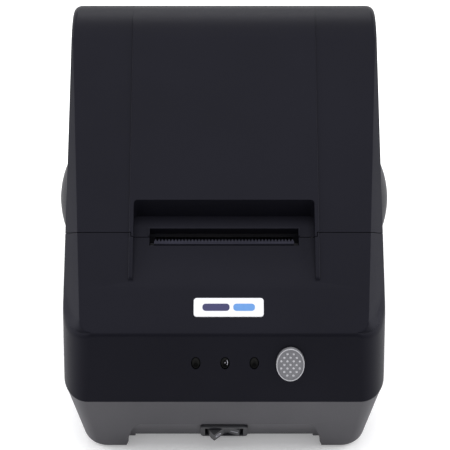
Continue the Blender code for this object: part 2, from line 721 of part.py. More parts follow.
MOUTH_Y = CONNECTOR_Y[1] + 2
jack_z = BOARD_Z[1] + GAP + JACK[2] / 2
socket(
    "dc_jack", JACK,
    rod((JACK[0], jack_z), 4.6, MOUTH_Y - 11.0, MOUTH_Y, "y", 20),
    CONNECTOR,
    rod((JACK[0], jack_z), 1.2, MOUTH_Y - 12.0, MOUTH_Y - 3.5, "y", 10),
)
usb_z = BOARD_Z[1] + GAP + USB[2] / 2
socket(
    "usb_socket", USB,
    box((USB[0] - 4.4, USB[0] + 4.4), (MOUTH_Y - 11.0, MOUTH_Y), (usb_z - 4.0, usb_z + 4.0)),
    STEEL,
    box((USB[0] - 2.8, USB[0] + 2.8), (MOUTH_Y - 12.0, MOUTH_Y - 3.0), (usb_z - 1.6, usb_z + 1.6)),
)
drawer_z = BOARD_Z[1] + GAP
drawer_mouth = box(
    (DRAWER[0] - 5.2, DRAWER[0] + 5.2), (MOUTH_Y - 13.0, MOUTH_Y), (drawer_z + 4.2, drawer_z + 11.6)
)
drawer = socket("drawer_socket", DRAWER, drawer_mouth, CONNECTOR)
latch_slot = box(
    (DRAWER[0] - 2.0, DRAWER[0] + 2.0), (MOUTH_Y - 10.0, MOUTH_Y), (drawer_z + 2.0, drawer_z + 6.0)
)
cut(drawer, latch_slot, "latch_slot")

# Power switch: the frame fills the hole in the scoop, and the rocker turns about an upright pin.
bezel_rings = []
for depth, inset, corner in ((-GAP, 0.0, 1.6), (-1.1, 0.0, 1.6), (-1.5, 0.5, 1.3)):
    lo = (-BEZEL[0] / 2 + inset, -BEZEL[1] / 2 + inset)
    bezel_rings.append([(*pair, depth) for pair in rounded(lo, (-lo[0], -lo[1]), corner)])
switch = node("power_switch_frame", laid(loft(bezel_rings), SWITCH), CONNECTOR)
join(switch, laid(box((-9.3, 9.3), (-6.3, 6.3), (-0.9, 14.0)), SWITCH), "body")
blades = together(*(box((x - 2.4, x + 2.4), (-0.4, 0.4), (13.5, 21.0)) for x in (-5.5, 5.5)))
join(switch, laid(blades, SWITCH), "blades")
cut(switch, laid(box((-8.5, 8.5), (-5.2, 5.2), (-3.0, 9.5)), SWITCH), "well")

ROCKER_PIVOT = 2.2  # behind the scoop face
rocker_axis = pivot_empty("power_rocker", tuple(SWITCH @ Vector((0.0, 0.0, ROCKER_PIVOT))))
rocker_outline = []
for side in (-1, 1):
    # A lobe: its flat cheek from the middle to the tip, its round end, and its root.
    lobe = [(side * 0.9, -3.2)]
    lobe += [(side * 7.8 * cos(a), 7.8 * sin(a)) for a in map(radians, (-44, -33, -20, -7, 6))]
    lobe += [(side * 4.6, 4.0)]
    rocker_outline += lobe if side > 0 else lobe[::-1]
tilt = Matrix.Rotation(-ROCKER_TILT, 4, "Y")
rocker_frame = SWITCH @ Matrix.Translation((0.0, 0.0, ROCKER_PIVOT)) @ tilt
rocker_body = prism(rocker_outline, -4.9, 4.9, "y")
node("power_switch_rocker", laid(rocker_body, rocker_frame), CONNECTOR, rocker_axis)

# Control panel: board behind the fascia, light pipes, switch and the oval feed button.
node("panel_board", laid(box((-24.0, 44.0), (6.0, 31.0), (9.5, 11.1)), FASCIA), BOARD)
for name, x in LED_X.items():
    pipe = []
    for depth, k in ((0.25, 1.0), (3.2, 1.0), (3.2, 0.8), (9.1, 0.8)):
        ring = oval((x, LED_UP), (LED_SIZE[0] * k, LED_SIZE[1] * k), 16)
        pipe.append([(*pair, depth) for pair in ring])
    node(name, laid(loft(pipe), FASCIA), LENS)
TACT_TOP = 6.6  # depth of the tact switch's plunger behind the fascia
tact_body = box((BUTTON[0] - 3, BUTTON[0] + 3), (BUTTON[1] - 3, BUTTON[1] + 3), (TACT_TOP + 0.6, 9.2))
tact = node("tact_switch", laid(tact_body, FASCIA), CONNECTOR)
join(tact, laid(rod(BUTTON, 1.6, TACT_TOP, 8.0, "z", 12), FASCIA), "plunger")
button_axis = pivot_empty("feed_button_slide", tuple(FASCIA @ Vector((*BUTTON, 0.0))))
# A crowned key, a collar that stops it behind the fascia, and a stem; k scales its oval.
COLLAR = (WALL + GAP, WALL + GAP + 1.0)
cap = []
for depth, k in (
    (-1.5, 0.9), (-1.1, 1.0), (COLLAR[0], 1.0), (COLLAR[0], 1.14), (COLLAR[1], 1.14), (COLLAR[1], 0.35),
    (TACT_TOP - BUTTON_TRAVEL - 0.1, 0.35),
):
    cap.append([(*pair, depth) for pair in oval(BUTTON, (BUTTON_SIZE[0] * k, BUTTON_SIZE[1] * k), 28)])
node("feed_button", laid(loft(cap), FASCIA), GREY_ABS, button_axis)


# ---------------------------------------------------------------- roll well

def below(radius, top):
    """The part of a circle about the roll that lies under a level."""
    reach = (radius**2 - (ROLL[1] - top) ** 2) ** 0.5
    start = atan2(top - ROLL[1], reach)
    sweep = pi + 2 * start
    steps = 14
    angles = [start - sweep * i / steps for i in range(steps + 1)]
    return [(ROLL[0] + radius * cos(a), ROLL[1] + radius * sin(a)) for a in angles]


shelf_outline = [
    (-66.6, 58.0), (-51.0, 58.0), (-51.0, 79.0), (51.0, 79.0),
    (51.0, 58.0), (66.6, 58.0), (66.6, 168.0), (-66.6, 168.0),
]
bucket = node("paper_bucket", prism(shelf_outline, *SHELF_Z, "z"), DARK_ABS)
well = below(WELL_R + WELL_WALL, SHELF_Z[1] - 0.4)
join(bucket, prism(well, -WELL_HALF - WELL_WALL, WELL_HALF + WELL_WALL), "well")
cut(bucket, prism(below(WELL_R, 62.0), -WELL_HALF, WELL_HALF), "inside")
node("paper_sensor", box((-4.0, 4.0), (80.3, 84.6), (SHELF_Z[1] + GAP, SHELF_Z[1] + 4.5)), CONNECTOR)


# ---------------------------------------------------------------- print mechanism

frame = node("mech_frame", box((-FRAME_SIDE[1], FRAME_SIDE[1]), (42.0, 74.0), (30.0, 76.0)), STEEL)
cut(frame, box((-FRAME_SIDE[0], FRAME_SIDE[0]), (43.6, 80.0), (31.6, 80.0)), "inside")
cut(frame, prism([(40.0, 70.0), (56.0, 78.0), (40.0, 78.0)], -60, 60), "slanted_top")
join(frame, both_sides(box((35.0, 50.0), (52.0, 64.0), (30.0, 31.6))), "tabs")
notch = [(PLATEN[0] - 4.4, 80.0), (PLATEN[0] - 4.4, PLATEN[1])]
notch += [(PLATEN[0] - 4.4 * cos(a), PLATEN[1] - 4.4 * sin(a)) for a in (pi * i / 8 for i in range(1, 8))]
notch += [(PLATEN[0] + 4.4, PLATEN[1]), (PLATEN[0] + 6.4, 80.0)]
cut(
    frame,
    together(
        prism(notch, -60, 60),
        both_sides(rod(FRAME_POST, 1.7, 25.0, 40.0, "z", 10)),
    ),
    "bearing_notches",
)
cut(
    frame,
    together(
        rod(IDLER, 1.5 + GAP, 30.0, 40.0, steps=12),
        rod(MOTOR, 3.0, 30.0, 40.0, steps=12),
        box((-25.0, 25.0), (40.0, 46.0), (36.0, 56.0)),
    ),
    "frame_holes",
)
for side, name in ((-1, "mech_screw_left"), (1, "mech_screw_right")):
    screw(name, (side * FRAME_POST[0], FRAME_POST[1]), 31.6 + GAP + 1.6, 2.7, 0.9, 8.0, False)

node("gear_axle", rod(IDLER, 1.5, 33.7, 47.0, steps=12), STEEL)
motor = node("stepper_motor", rod(MOTOR, 10.0, 12.0, FRAME_SIDE[0] - GAP, steps=24), STEEL)
join(motor, rod(MOTOR, 2.4, 33.0, 36.4, steps=12), "collar")

platen_axis = pivot_empty("platen_spin", (0.0, *PLATEN))
sleeve = tube(circle(PLATEN, PLATEN_R, 28), circle(PLATEN, SHAFT_R + GAP, 28), -30.3, 30.3)
node("platen_roller", sleeve, RUBBER, platen_axis)
node("platen_shaft", rod(PLATEN, SHAFT_R, -37.4, 42.9, steps=16), STEEL, platen_axis)
# The wheels meet with a tooth of one in a gap of the other.
toothed = gear(PLATEN, PLATEN_TEETH, GEAR_INNER, -pi / 2 + pi / PLATEN_TEETH)
wheel = node("platen_gear", toothed, ACETAL, platen_axis)
cut(wheel, rod(PLATEN, SHAFT_R + GAP, 30.0, 50.0), "bore")

idler_axis = pivot_empty("reduction_gear_spin", (0.0, *IDLER))
small_wheel = gear(IDLER, SMALL_TEETH, (GEAR_INNER[0], GEAR_OUTER[0] + 0.5), pi / 2)
idler = node("reduction_gear", small_wheel, ACETAL, idler_axis)
join(idler, gear(IDLER, BIG_TEETH, GEAR_OUTER, MOTOR_ANGLE), "big_wheel")
cut(idler, rod(IDLER, 1.5 + GAP, 30.0, 50.0, steps=12), "bore")

motor_axis = pivot_empty("motor_spin", (0.0, *MOTOR))
facing = MOTOR_ANGLE + pi + pi / MOTOR_TEETH
pinion = node("motor_pinion", gear(MOTOR, MOTOR_TEETH, GEAR_OUTER, facing), STEEL, motor_axis)
join(pinion, rod(MOTOR, 1.3, 36.9, GEAR_OUTER[1] - 0.5, steps=12), "shaft")

for side, name in ((-1, "platen_bush_left"), (1, "platen_bush_right")):
    ends = sorted((side * 33.6, side * 36.4))
    node(name, tube(circle(PLATEN, 4.05, 20), circle(PLATEN, SHAFT_R + GAP, 20), *ends), ACETAL, hinge_axis)

head_axis = pivot_empty("head_tilt", (0.0, *HEAD_PIVOT))
sink = node("head_heatsink", box((-29.0, 29.0), (51.0, 53.6), (58.5, 76.4)), ALUMINIUM, head_axis)
join(sink, rod(HEAD_PIVOT, 1.6, -33.2, 33.2, steps=12), "trunnions")
node("thermal_head", box((-27.0, 27.0), (53.9, 55.1), (60.0, 76.2)), CERAMIC, head_axis)

COILS = 5
for side, name in ((-1, "head_spring_left"), (1, "head_spring_right")):
    wire = bpy.data.curves.new(name, "CURVE")
    wire.dimensions = "3D"
    wire.bevel_depth = 0.35 * MM
    wire.bevel_resolution = 0
    wire.use_fill_caps = True
    spline = wire.splines.new("POLY")
    turns = COILS * 10
    spline.points.add(turns)
    for i, point in enumerate(spline.points):
        angle = 2 * pi * i / 10
        at = (side * 18.0 + 2.2 * cos(angle), 44.4 + 5.7 * i / turns, 67.0 + 2.2 * sin(angle))
        point.co = (*place(at), 1.0)
    coil = bpy.data.objects.new(name, wire)
    wire.materials.append(STEEL)
    bpy.context.collection.objects.link(coil)

ribbon = [
    (49.6, 57.0), (49.6, 62.0), (50.0, 62.0), (50.0, 56.6),
    (48.6, 53.0), (46.0, 40.0), (45.6, 40.0), (48.2, 53.2),
]
node("head_cable", prism(ribbon, -24.0, 8.0), ACETAL)

# Inside the lid: the carrier that holds the platen.
liner = node("cover_liner", box((-33.0, 33.0), (59.3, 80.0), (78.7, 80.7)), DARK_ABS, hinge_axis)
turns = [radians(180 + 20 * i) for i in range(10)]
arm = [(PLATEN[0] + 4.8 * cos(a), PLATEN[1] + 4.8 * sin(a)) for a in turns]
arm += [(PLATEN[0] + 4.8, 79.0), (59.6, 79.0), (59.6, 75.0), (PLATEN[0] - 4.8, 72.5)]
join(liner, both_sides(prism(arm, 30.8, 33.0)), "arms")
cut(
    liner,
    together(
        both_sides(rod(PLATEN, SHAFT_R + GAP, 20.0, 40.0, steps=16)),
        both_sides(rod((COVER_BOSS_X, BOSS_Y), 1.7, 70.0, 90.0, "z", 12)),
    ),
    "bores",
)
for side, name in ((-1, "cover_screw_left"), (1, "cover_screw_right")):
    screw(name, (side * COVER_BOSS_X, BOSS_Y), 78.7 - GAP - 1.6, 2.7, 1.1, 9.0, True, hinge_axis)
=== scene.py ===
"""A desktop receipt printer for 58 mm paper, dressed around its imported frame.

Sizes are millimetres: x runs from left to right as seen from the front, y from the front edge
of the fascia to the back, and z up from the table. in_place() turns such a point into metres.
"""

import json
from math import cos, pi, radians, sin, tan

import bmesh
import bpy
from mathutils import Matrix, Vector

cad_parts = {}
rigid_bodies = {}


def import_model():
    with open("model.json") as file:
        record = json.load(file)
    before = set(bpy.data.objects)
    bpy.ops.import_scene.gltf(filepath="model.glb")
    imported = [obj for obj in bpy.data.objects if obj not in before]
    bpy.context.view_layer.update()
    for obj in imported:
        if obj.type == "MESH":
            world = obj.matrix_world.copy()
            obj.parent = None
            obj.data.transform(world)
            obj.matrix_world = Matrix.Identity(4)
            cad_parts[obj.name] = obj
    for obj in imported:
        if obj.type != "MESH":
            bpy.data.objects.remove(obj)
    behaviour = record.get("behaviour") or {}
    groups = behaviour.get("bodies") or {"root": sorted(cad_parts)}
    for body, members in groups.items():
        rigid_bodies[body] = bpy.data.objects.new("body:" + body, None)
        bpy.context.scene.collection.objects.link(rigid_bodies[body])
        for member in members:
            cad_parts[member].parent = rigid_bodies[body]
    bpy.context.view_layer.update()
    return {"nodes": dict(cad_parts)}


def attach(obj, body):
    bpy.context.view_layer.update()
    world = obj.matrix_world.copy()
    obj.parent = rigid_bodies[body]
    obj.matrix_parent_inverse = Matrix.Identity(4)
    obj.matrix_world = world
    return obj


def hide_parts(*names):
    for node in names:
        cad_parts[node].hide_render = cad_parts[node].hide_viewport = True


for leftover in list(bpy.data.objects):
    bpy.data.objects.remove(leftover)

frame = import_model()
cad = frame["nodes"]
DEPTH = 183.0


def in_place(point):
    return Vector((point[0], point[1] - DEPTH / 2, point[2])) / 1000


def added(name, data):
    """A new object in the scene."""
    made = bpy.data.objects.new(name, data)
    bpy.context.scene.collection.objects.link(made)
    return made


# ---------------------------------------------------------------- camera
# A long lens about a metre away, 40 degrees above the table and square to the front, so that
# the upright lines of the casing stay almost parallel.

LOOK_DOWN = radians(40.0)
forward = Vector((0.0, cos(LOOK_DOWN), -sin(LOOK_DOWN)))
upward = Vector((0.0, sin(LOOK_DOWN), cos(LOOK_DOWN)))
LOOK_AT = Vector((0.0004, -0.0315, 0.070)) + upward * 0.01166
DISTANCE = 1.019
camera = added("camera", bpy.data.cameras.new("camera"))
camera.data.lens = 182.0
camera.data.sensor_width = 36.0
camera.location = LOOK_AT - forward * DISTANCE
camera.rotation_euler = (pi / 2 - LOOK_DOWN, 0.0, 0.0)
bpy.context.scene.camera = camera

# ---------------------------------------------------------------- studio
# A white paper sweep under a wide overhead softbox, with two weaker boxes at the sides. The
# black casing shows mostly what it reflects, so the boxes are large and even.


def linear(colour):
    """An sRGB hex colour as the linear values that sockets take."""
    parts = [int(colour[i:i + 2], 16) / 255 for i in (1, 3, 5)]
    return (*(p / 12.92 if p <= 0.04045 else ((p + 0.055) / 1.055) ** 2.4 for p in parts), 1.0)


def feed(tree, node, values):
    """Sets inputs of a node, or links them to the node or output (or the list of them) given."""
    for name, value in dict(values).items():
        for source in value if isinstance(value, list) else [value]:
            if isinstance(source, bpy.types.Node):
                source = source.outputs[0]
            if isinstance(source, bpy.types.NodeSocket):
                tree.links.new(source, node.inputs[name])
            else:
                node.inputs[name].default_value = source
    return node


def wire(tree, kind, values=(), **settings):
    """Adds a node with its settings, and feeds its inputs."""
    made = tree.nodes.new(kind)
    for name, value in settings.items():
        setattr(made, name, value)
    return feed(tree, made, values)


def new_finish(name):
    """A material, its node tree, its shader and the Object coordinates that its patterns read."""
    made = bpy.data.materials.new(name)
    made.use_nodes = True
    tree = made.node_tree
    return made, tree, tree.nodes["Principled BSDF"], wire(tree, "ShaderNodeTexCoord").outputs["Object"]


def softbox(name, size, power, place, aim):
    lamp = bpy.data.lights.new(name, "AREA")
    lamp.shape = "RECTANGLE"
    lamp.size, lamp.size_y = size
    lamp.energy = power
    made = added(name, lamp)
    made.location = place
    made.rotation_euler = (Vector(aim) - Vector(place)).to_track_quat("-Z", "Y").to_euler()


softbox("overhead_box", (0.9, 0.9), 6.8, (0.0, 0.05, 1.15), (0.0, 0.0, 0.0))
softbox("rear_box", (0.8, 0.35), 3.5, (0.0, 0.95, 0.55), (0.0, 0.05, 0.11))
softbox("left_box", (0.5, 0.9), 8.0, (-0.95, 0.1, 0.45), (0.0, 0.0, 0.06))
softbox("right_box", (0.5, 0.9), 8.0, (0.95, 0.1, 0.45), (0.0, 0.0, 0.06))

world = bpy.data.worlds.new("studio")
world.use_nodes = True
sky = world.node_tree.nodes["Background"]
feed(world.node_tree, sky, {"Color": linear("#fbfbff"), "Strength": 0.55})
bpy.context.scene.world = world
bpy.context.scene.view_settings.view_transform = "Standard"

FLOOR_HALF = 3.0
sweep = bpy.data.meshes.new("paper_sweep")
floor_corners = [(x * FLOOR_HALF, y * FLOOR_HALF, 0.0) for x, y in ((-1, -1), (1, -1), (1, 1), (-1, 1))]
sweep.from_pydata(floor_corners, [], [(0, 1, 2, 3)])
floor = added("paper_sweep", sweep)
paper, tree, shader, spot = new_finish("white_background_paper")
fibre = wire(tree, "ShaderNodeTexNoise", {"Vector": spot, "Scale": 400.0, "Detail": 2.0})
tone = wire(tree, "ShaderNodeMapRange", {"Value": fibre, "To Min": 0.93, "To Max": 0.96})
feed(tree, shader, {
    "Base Color": tone, "Roughness": 0.9, "Specular IOR Level": 0.1,
    "Emission Color": linear("#ffffff"), "Emission Strength": 0.2,
})
sweep.materials.append(paper)

# ---------------------------------------------------------------- base tray
# The lower casing is moulded in charcoal ABS, lighter than the rest, with a fine spark-eroded
# grain. Its walls lean in towards the table, and an arch at the front makes room for the switch.


def fillet(before, corner, after, radius, steps):
    """Points of an arc of this radius that rounds a corner of an outline."""
    a, b, c = Vector(before), Vector(corner), Vector(after)
    u, v = (a - b).normalized(), (c - b).normalized()
    half = u.angle(v) / 2
    centre = b + (u + v).normalized() * radius / sin(half)
    start, end = b + u * radius / tan(half) - centre, b + v * radius / tan(half) - centre
    turn = start.angle_signed(end)
    return [tuple(centre + Matrix.Rotation(-turn * i / steps, 2) @ start) for i in range(steps + 1)]


def oval(centre, radii, steps):
    angles = [2 * pi * i / steps for i in range(steps)]
    return [(centre[0] + radii[0] * cos(a), centre[1] + radii[1] * sin(a)) for a in angles]


def rounded(low, high, radius, steps=6):
    """A rectangle's outline with round corners."""
    corners = [(low[0], low[1]), (high[0], low[1]), (high[0], high[1]), (low[0], high[1])]
    out = []
    for i, corner in enumerate(corners):
        out += fillet(corners[i - 1], corner, corners[(i + 1) % 4], radius, steps)
    return out


def loft(rings):
    """A closed shape through rings with the same number of points."""
    count = len(rings[0])
    points = [point for ring in rings for point in ring]
    faces = [tuple(range(count)), tuple(range(len(points) - count, len(points)))]
    for level in range(len(rings) - 1):
        low, high = level * count, (level + 1) * count
        for i in range(count):
            j = (i + 1) % count
            faces.append((low + i, low + j, high + j, high + i))
    return points, faces


def prism(outline, low, high, axis="x"):
    """An outline pushed along an axis; the outline's two numbers are the other two axes."""
    def point(level, pair):
        if axis == "x":
            return (level, *pair)
        return (*pair, level) if axis == "z" else (pair[0], level, pair[1])
    return loft([[point(level, pair) for pair in outline] for level in (low, high)])


def box(x, y, z):
    return prism([(x[0], y[0]), (x[1], y[0]), (x[1], y[1]), (x[0], y[1])], z[0], z[1], "z")


def rod(centre, radius, low, high, axis="x", steps=32):
    return prism(oval(centre, (radius, radius), steps), low, high, axis)


def together(*shapes):
    points, faces = [], []
    for more, polygons in shapes:
        faces += [tuple(i + len(points) for i in face) for face in polygons]
        points += more
    return points, faces


def both_sides(shape):
    points, faces = shape
    return together(shape, ([(-x, y, z) for x, y, z in points], [face[::-1] for face in faces]))


def laid(shape, matrix):
    """The shape moved by a matrix in millimetres."""
    return [tuple(matrix @ Vector(point)) for point in shape[0]], shape[1]


def face_outwards(mesh):
    work = bmesh.new()
    work.from_mesh(mesh)
    bmesh.ops.recalc_face_normals(work, faces=work.faces)
    work.to_mesh(mesh)
    work.free()


def piece(name, shape, finish=None):
    """An object whose place is in its mesh, with its faces turned outwards."""
    mesh = bpy.data.meshes.new(name)
    mesh.from_pydata([in_place(point) for point in shape[0]], [], shape[1])
    face_outwards(mesh)
    if finish:
        mesh.materials.append(finish)
    return added(name, mesh)


def settle(target, *helpers):
    """Applies the target's modifiers and removes the shapes that they used."""
    graph = bpy.context.evaluated_depsgraph_get()
    finished = bpy.data.meshes.new_from_object(target.evaluated_get(graph))
    target.modifiers.clear()
    target.data = finished
    for helper in helpers:
        bpy.data.objects.remove(helper)
    return target


def shaped(target, operation, *shapes):
    """Cuts, joins or keeps each shape in turn; a shape is a list of points and faces, or an object."""
    helpers = []
    for shape in shapes:
        helper = shape if isinstance(shape, bpy.types.Object) else piece("helper", shape)
        helpers.append(helper)
        step = target.modifiers.new("step", "BOOLEAN")
        step.operation = operation
        step.object = helper
    return settle(target, *helpers)


def soft_edges(target, width, angle=35.0, segments=2):
    """Rounds the sharp edges by a width in millimetres and shades the rest smooth."""
    work = bmesh.new()
    work.from_mesh(target.data)
    bmesh.ops.remove_doubles(work, verts=work.verts, dist=0.00002)
    bmesh.ops.dissolve_degenerate(work, dist=0.00002, edges=work.edges)
    work.to_mesh(target.data)
    work.free()
    if width:
        step = target.modifiers.new("edges", "BEVEL")
        step.width = width / 1000
        step.segments = segments
        step.limit_method = "ANGLE"
        step.angle_limit = radians(angle)
        step.use_clamp_overlap = False
        settle(target)
    target.data.shade_smooth()
    target.data.set_sharp_from_angle(angle=radians(angle))
    target.modifiers.new("flats_first", "WEIGHTED_NORMAL").keep_sharp = True
    settle(target)


def coat(tree, shader, colours, patch, fine, roughness, relief):
    """Colour follows one pattern; roughness and relief follow another. relief is (strength, mm)."""
    blend = wire(tree, "ShaderNodeMix", {
        0: patch, 6: linear(colours[0]), 7: linear(colours[1]),
    }, data_type="RGBA")
    rough = wire(tree, "ShaderNodeMapRange", {
        "Value": fine, "From Min": 0.3, "From Max": 0.7, "To Min": roughness[0], "To Max": roughness[1],
    })
    bumps = wire(tree, "ShaderNodeBump", {
        "Height": fine, "Strength": relief[0], "Distance": relief[1] / 1000,
    })
    feed(tree, shader, {"Base Color": blend.outputs[2], "Roughness": rough, "Normal": bumps})


def moulded(name, colours, roughness, grain, depth, specular):
    """Moulded plastic: colour varies a little, and the spark-eroded mould leaves a fine grain.

    grain is the size of one grain and depth its height, both in millimetres.
    """
    made, tree, shader, spot = new_finish(name)
    cloud = wire(tree, "ShaderNodeTexNoise", {"Vector": spot, "Scale": 1000 / 45.0, "Detail": 2.0})
    speck = wire(tree, "ShaderNodeTexNoise", {
        "Vector": spot, "Scale": 1000 / grain, "Detail": 3.0, "Roughness": 0.6,
    })
    both = wire(tree, "ShaderNodeMath", {0: cloud, 1: speck}, operation="MULTIPLY")
    spread = wire(tree, "ShaderNodeMapRange", {"Value": both, "From Min": 0.12, "From Max": 0.4})
    coat(tree, shader, colours, spread, speck, roughness, (0.5, depth))
    shader.inputs["Specular IOR Level"].default_value = specular
    return made


# The grain of the real mould is about 0.1 mm; it is drawn at 0.7 mm so that it can show.
charcoal_abs = moulded("charcoal_spark_textured_abs", ("#403f43", "#4a494d"), (0.5, 0.62), 0.7, 0.02, 0.3)

RIM_Z = 34.5
GAP = 0.3
WALL = 2.5
HALF_WIDTH = 70.0
BASE_TOP = RIM_Z - GAP
BASE_BOTTOM = 0.4
FLOOR_Z = 3.6
BELLY_Z = 3.0
BELLY_HALF = 40.0
BELLY_BACK_Y = 150.0
UNDERCUT = radians(8.5)
SCOOP_TOP = (4.15, 16.7)
SCOOP_UNDERCUT = radians(29.0)
SCOOP_HALF = 34.8
SCOOP_FOOT = 44.0
SCREW_POSTS = ((52.0, 34.0), (54.0, 150.0))
BOARD_SCREWS = [(x, y) for x in (-34.0, 34.0) for y in (42.0, 156.0)]
FRAME_POST = (45.0, 58.0)
FEET = [(x, y) for x in (-50.0, 50.0) for y in (20.0, 166.0)]
PORTS = ((-40.0, 14.2, 11.0), (-14.0, 12.0, 11.0), (14.0, 13.6, 13.0))
BOARD_TOP = 13.6
BOARD_UNDER = 12.0
PORT_GAP = 0.4
POST_R = 4.0
EDGE_R = 4.5
SWITCH_DROP = 7.7


def base_ring(z, half, front, back, wide, deep):
    """A ring of the base: wide, deep corners at the front and small ones at the back."""
    rear = 0.65 * wide
    corners = (
        (1, front, wide, deep), (1, back, rear, rear), (-1, back, rear, rear), (-1, front, wide, deep),
    )
    turns = [i * pi / 28 for i in range(15)]
    ring = []
    for side, y, across, along in corners:
        way = 1 if y == front else -1
        arc = [(side * (half - across * (1 - sin(a))), y + way * along * (1 - cos(a)), z) for a in turns]
        ring += arc if side * way > 0 else arc[::-1]
    return ring


def base_level(z, inward, inset):
    drop = BASE_TOP - z
    high = max(0.0, min(1.0, z / BASE_TOP))
    half = HALF_WIDTH + 0.5 - drop * 0.255 - inward - inset
    front = 1.5 + drop * tan(UNDERCUT) + 0.15 * inward + inset
    back = DEPTH - 1.5 - 0.25 * drop * tan(UNDERCUT) - inward - inset
    return base_ring(z, half, front, back, 6.0 + 3.5 * high - inset, 8.5 + 7.0 * high - inset)


def base_levels(bottom, top, inset=0.0, lip=0.0):
    """Leaning walls, a round edge at the bottom, and a small rounding of the upper lip."""
    quarter = [pi / 16 * i for i in range(9)]
    upper = [base_level(top, 0.0, inset)]
    if lip:
        upper = [base_level(top - lip * (1 - sin(a)), lip * (1 - cos(a)), inset) for a in quarter[::-2]]
    middle = [base_level(z, 0.0, inset) for z in (28.0, 22.0, 16.0, 10.0)]
    edge = [base_level(bottom + EDGE_R * (1 - sin(a)), EDGE_R * (1 - cos(a)), inset) for a in quarter]
    return upper + middle + edge


def matrix_of(origin, x, y, z):
    """A frame's axes and origin as a matrix."""
    return Matrix([(*axis, 0.0) for axis in (x, y, z)] + [(*origin, 1.0)]).transposed()


SWITCH_DOWN = Vector((0.0, sin(SCOOP_UNDERCUT), -cos(SCOOP_UNDERCUT)))
SWITCH_IN = Vector((0.0, cos(SCOOP_UNDERCUT), sin(SCOOP_UNDERCUT)))
SWITCH_AT = Vector((0.0, *SCOOP_TOP)) + SWITCH_DOWN * SWITCH_DROP
SWITCH = matrix_of(SWITCH_AT, (1.0, 0.0, 0.0), -SWITCH_DOWN, SWITCH_IN)

tray = piece("base_tray_moulding", loft(base_levels(BASE_BOTTOM, BASE_TOP, lip=0.5)), charcoal_abs)
cavity = piece("helper", loft(base_levels(FLOOR_Z, BASE_TOP + 6, WALL)))
shaped(
    cavity, "DIFFERENCE",
    box((-46.0, 46.0), (-5.0, SCOOP_TOP[0] + 10.6), (0.0, 21.0)),
    box((-BELLY_HALF - WALL, BELLY_HALF + WALL), (-6.0, BELLY_BACK_Y + WALL), (-1.0, BELLY_Z + WALL)),
)
arch = [(-SCOOP_FOOT, 0.0)]
turns = [i * pi / 36 for i in range(19)]
for sign in (-1, 1):
    arc = [(sign * (SCOOP_HALF + 8.0 * sin(a)), SCOOP_TOP[1] + 0.5 - 13.0 * (1 - cos(a))) for a in turns]
    arch += arc[::-1] if sign < 0 else arc
arch.append((SCOOP_FOOT, 0.0))
scoop = piece("helper", prism(arch, -20.0, 40.0, "y"))
far = SWITCH_DOWN * 30
slab = [
    (SCOOP_TOP[0] - 30, SCOOP_TOP[1] + 1.0),
    (SCOOP_TOP[0] - tan(SCOOP_UNDERCUT), SCOOP_TOP[1] + 1.0),
    (SCOOP_TOP[0] + far.y, SCOOP_TOP[1] + far.z),
    (SCOOP_TOP[0] - 30, SCOOP_TOP[1] + far.z),
]
shaped(scoop, "INTERSECT", prism(slab, -60, 60))
belly = box((-BELLY_HALF, BELLY_HALF), (2.0, BELLY_BACK_Y), (-2.0, BELLY_Z))
shaped(tray, "DIFFERENCE", cavity, scoop, belly)
switch_plate = prism(rounded((-12.7, -9.4), (12.7, 0.0), 2.0), GAP, 2.5, "z")
shaped(tray, "UNION", laid(switch_plate, SWITCH))
shaped(tray, "UNION", together(
    *(rod(at, 3.4, FLOOR_Z - 1, BOARD_UNDER - GAP, "z") for at in BOARD_SCREWS),
    both_sides(rod(FRAME_POST, POST_R, FLOOR_Z - 1, 29.7, "z")),
    *(both_sides(rod(at, POST_R, FLOOR_Z - 1, BASE_TOP, "z")) for at in SCREW_POSTS),
))
port_holes = [
    box(
        (x - width / 2 - PORT_GAP, x + width / 2 + PORT_GAP), (172.0, 190.0),
        (BOARD_TOP, BOARD_TOP + height + 2 * PORT_GAP),
    ) for x, width, height in PORTS
]
shaped(
    tray, "DIFFERENCE",
    together(*(both_sides(rod(at, 1.8, -2, BASE_TOP + 2, "z", 16)) for at in SCREW_POSTS)),
    together(
        *(both_sides(rod(at, 3.3, -2, FLOOR_Z + 14, "z", 24)) for at in SCREW_POSTS),
        *(rod(at, 1.2, FLOOR_Z + 1, 20.0, "z", 12) for at in BOARD_SCREWS),
        both_sides(rod(FRAME_POST, 1.2, FLOOR_Z + 6, 40.0, "z", 12)),
        *(rod(at, 6.3, -2.0, BASE_BOTTOM + 1.4, "z", 40) for at in FEET),
    ),
    together(*port_holes, laid(box((-9.6, 9.6), (-6.6, 6.6), (-5.0, 30.0)), SWITCH)),
)
soft_edges(tray, 0.0)
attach(tray, "casing")
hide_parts("base_tray")

# ---------------------------------------------------------------- casing skin
# The lid and the upper housing are one form in black ABS, cut apart by the seam. A leaning
# fascia meets a sloping deck, which rises to a round top, and the sides fall away in a
# chamfer that narrows towards the back. A raised band runs down the middle.

# Black ABS shows a cool sheen on its matt grain. The grain is drawn coarser than the real one.
black_abs = moulded("black_spark_textured_abs", ("#0b0b10", "#0f0f15"), (0.44, 0.54), 0.8, 0.012, 0.11)
black_abs.node_tree.nodes["Principled BSDF"].inputs["Specular Tint"].default_value = linear("#e6e6ff")

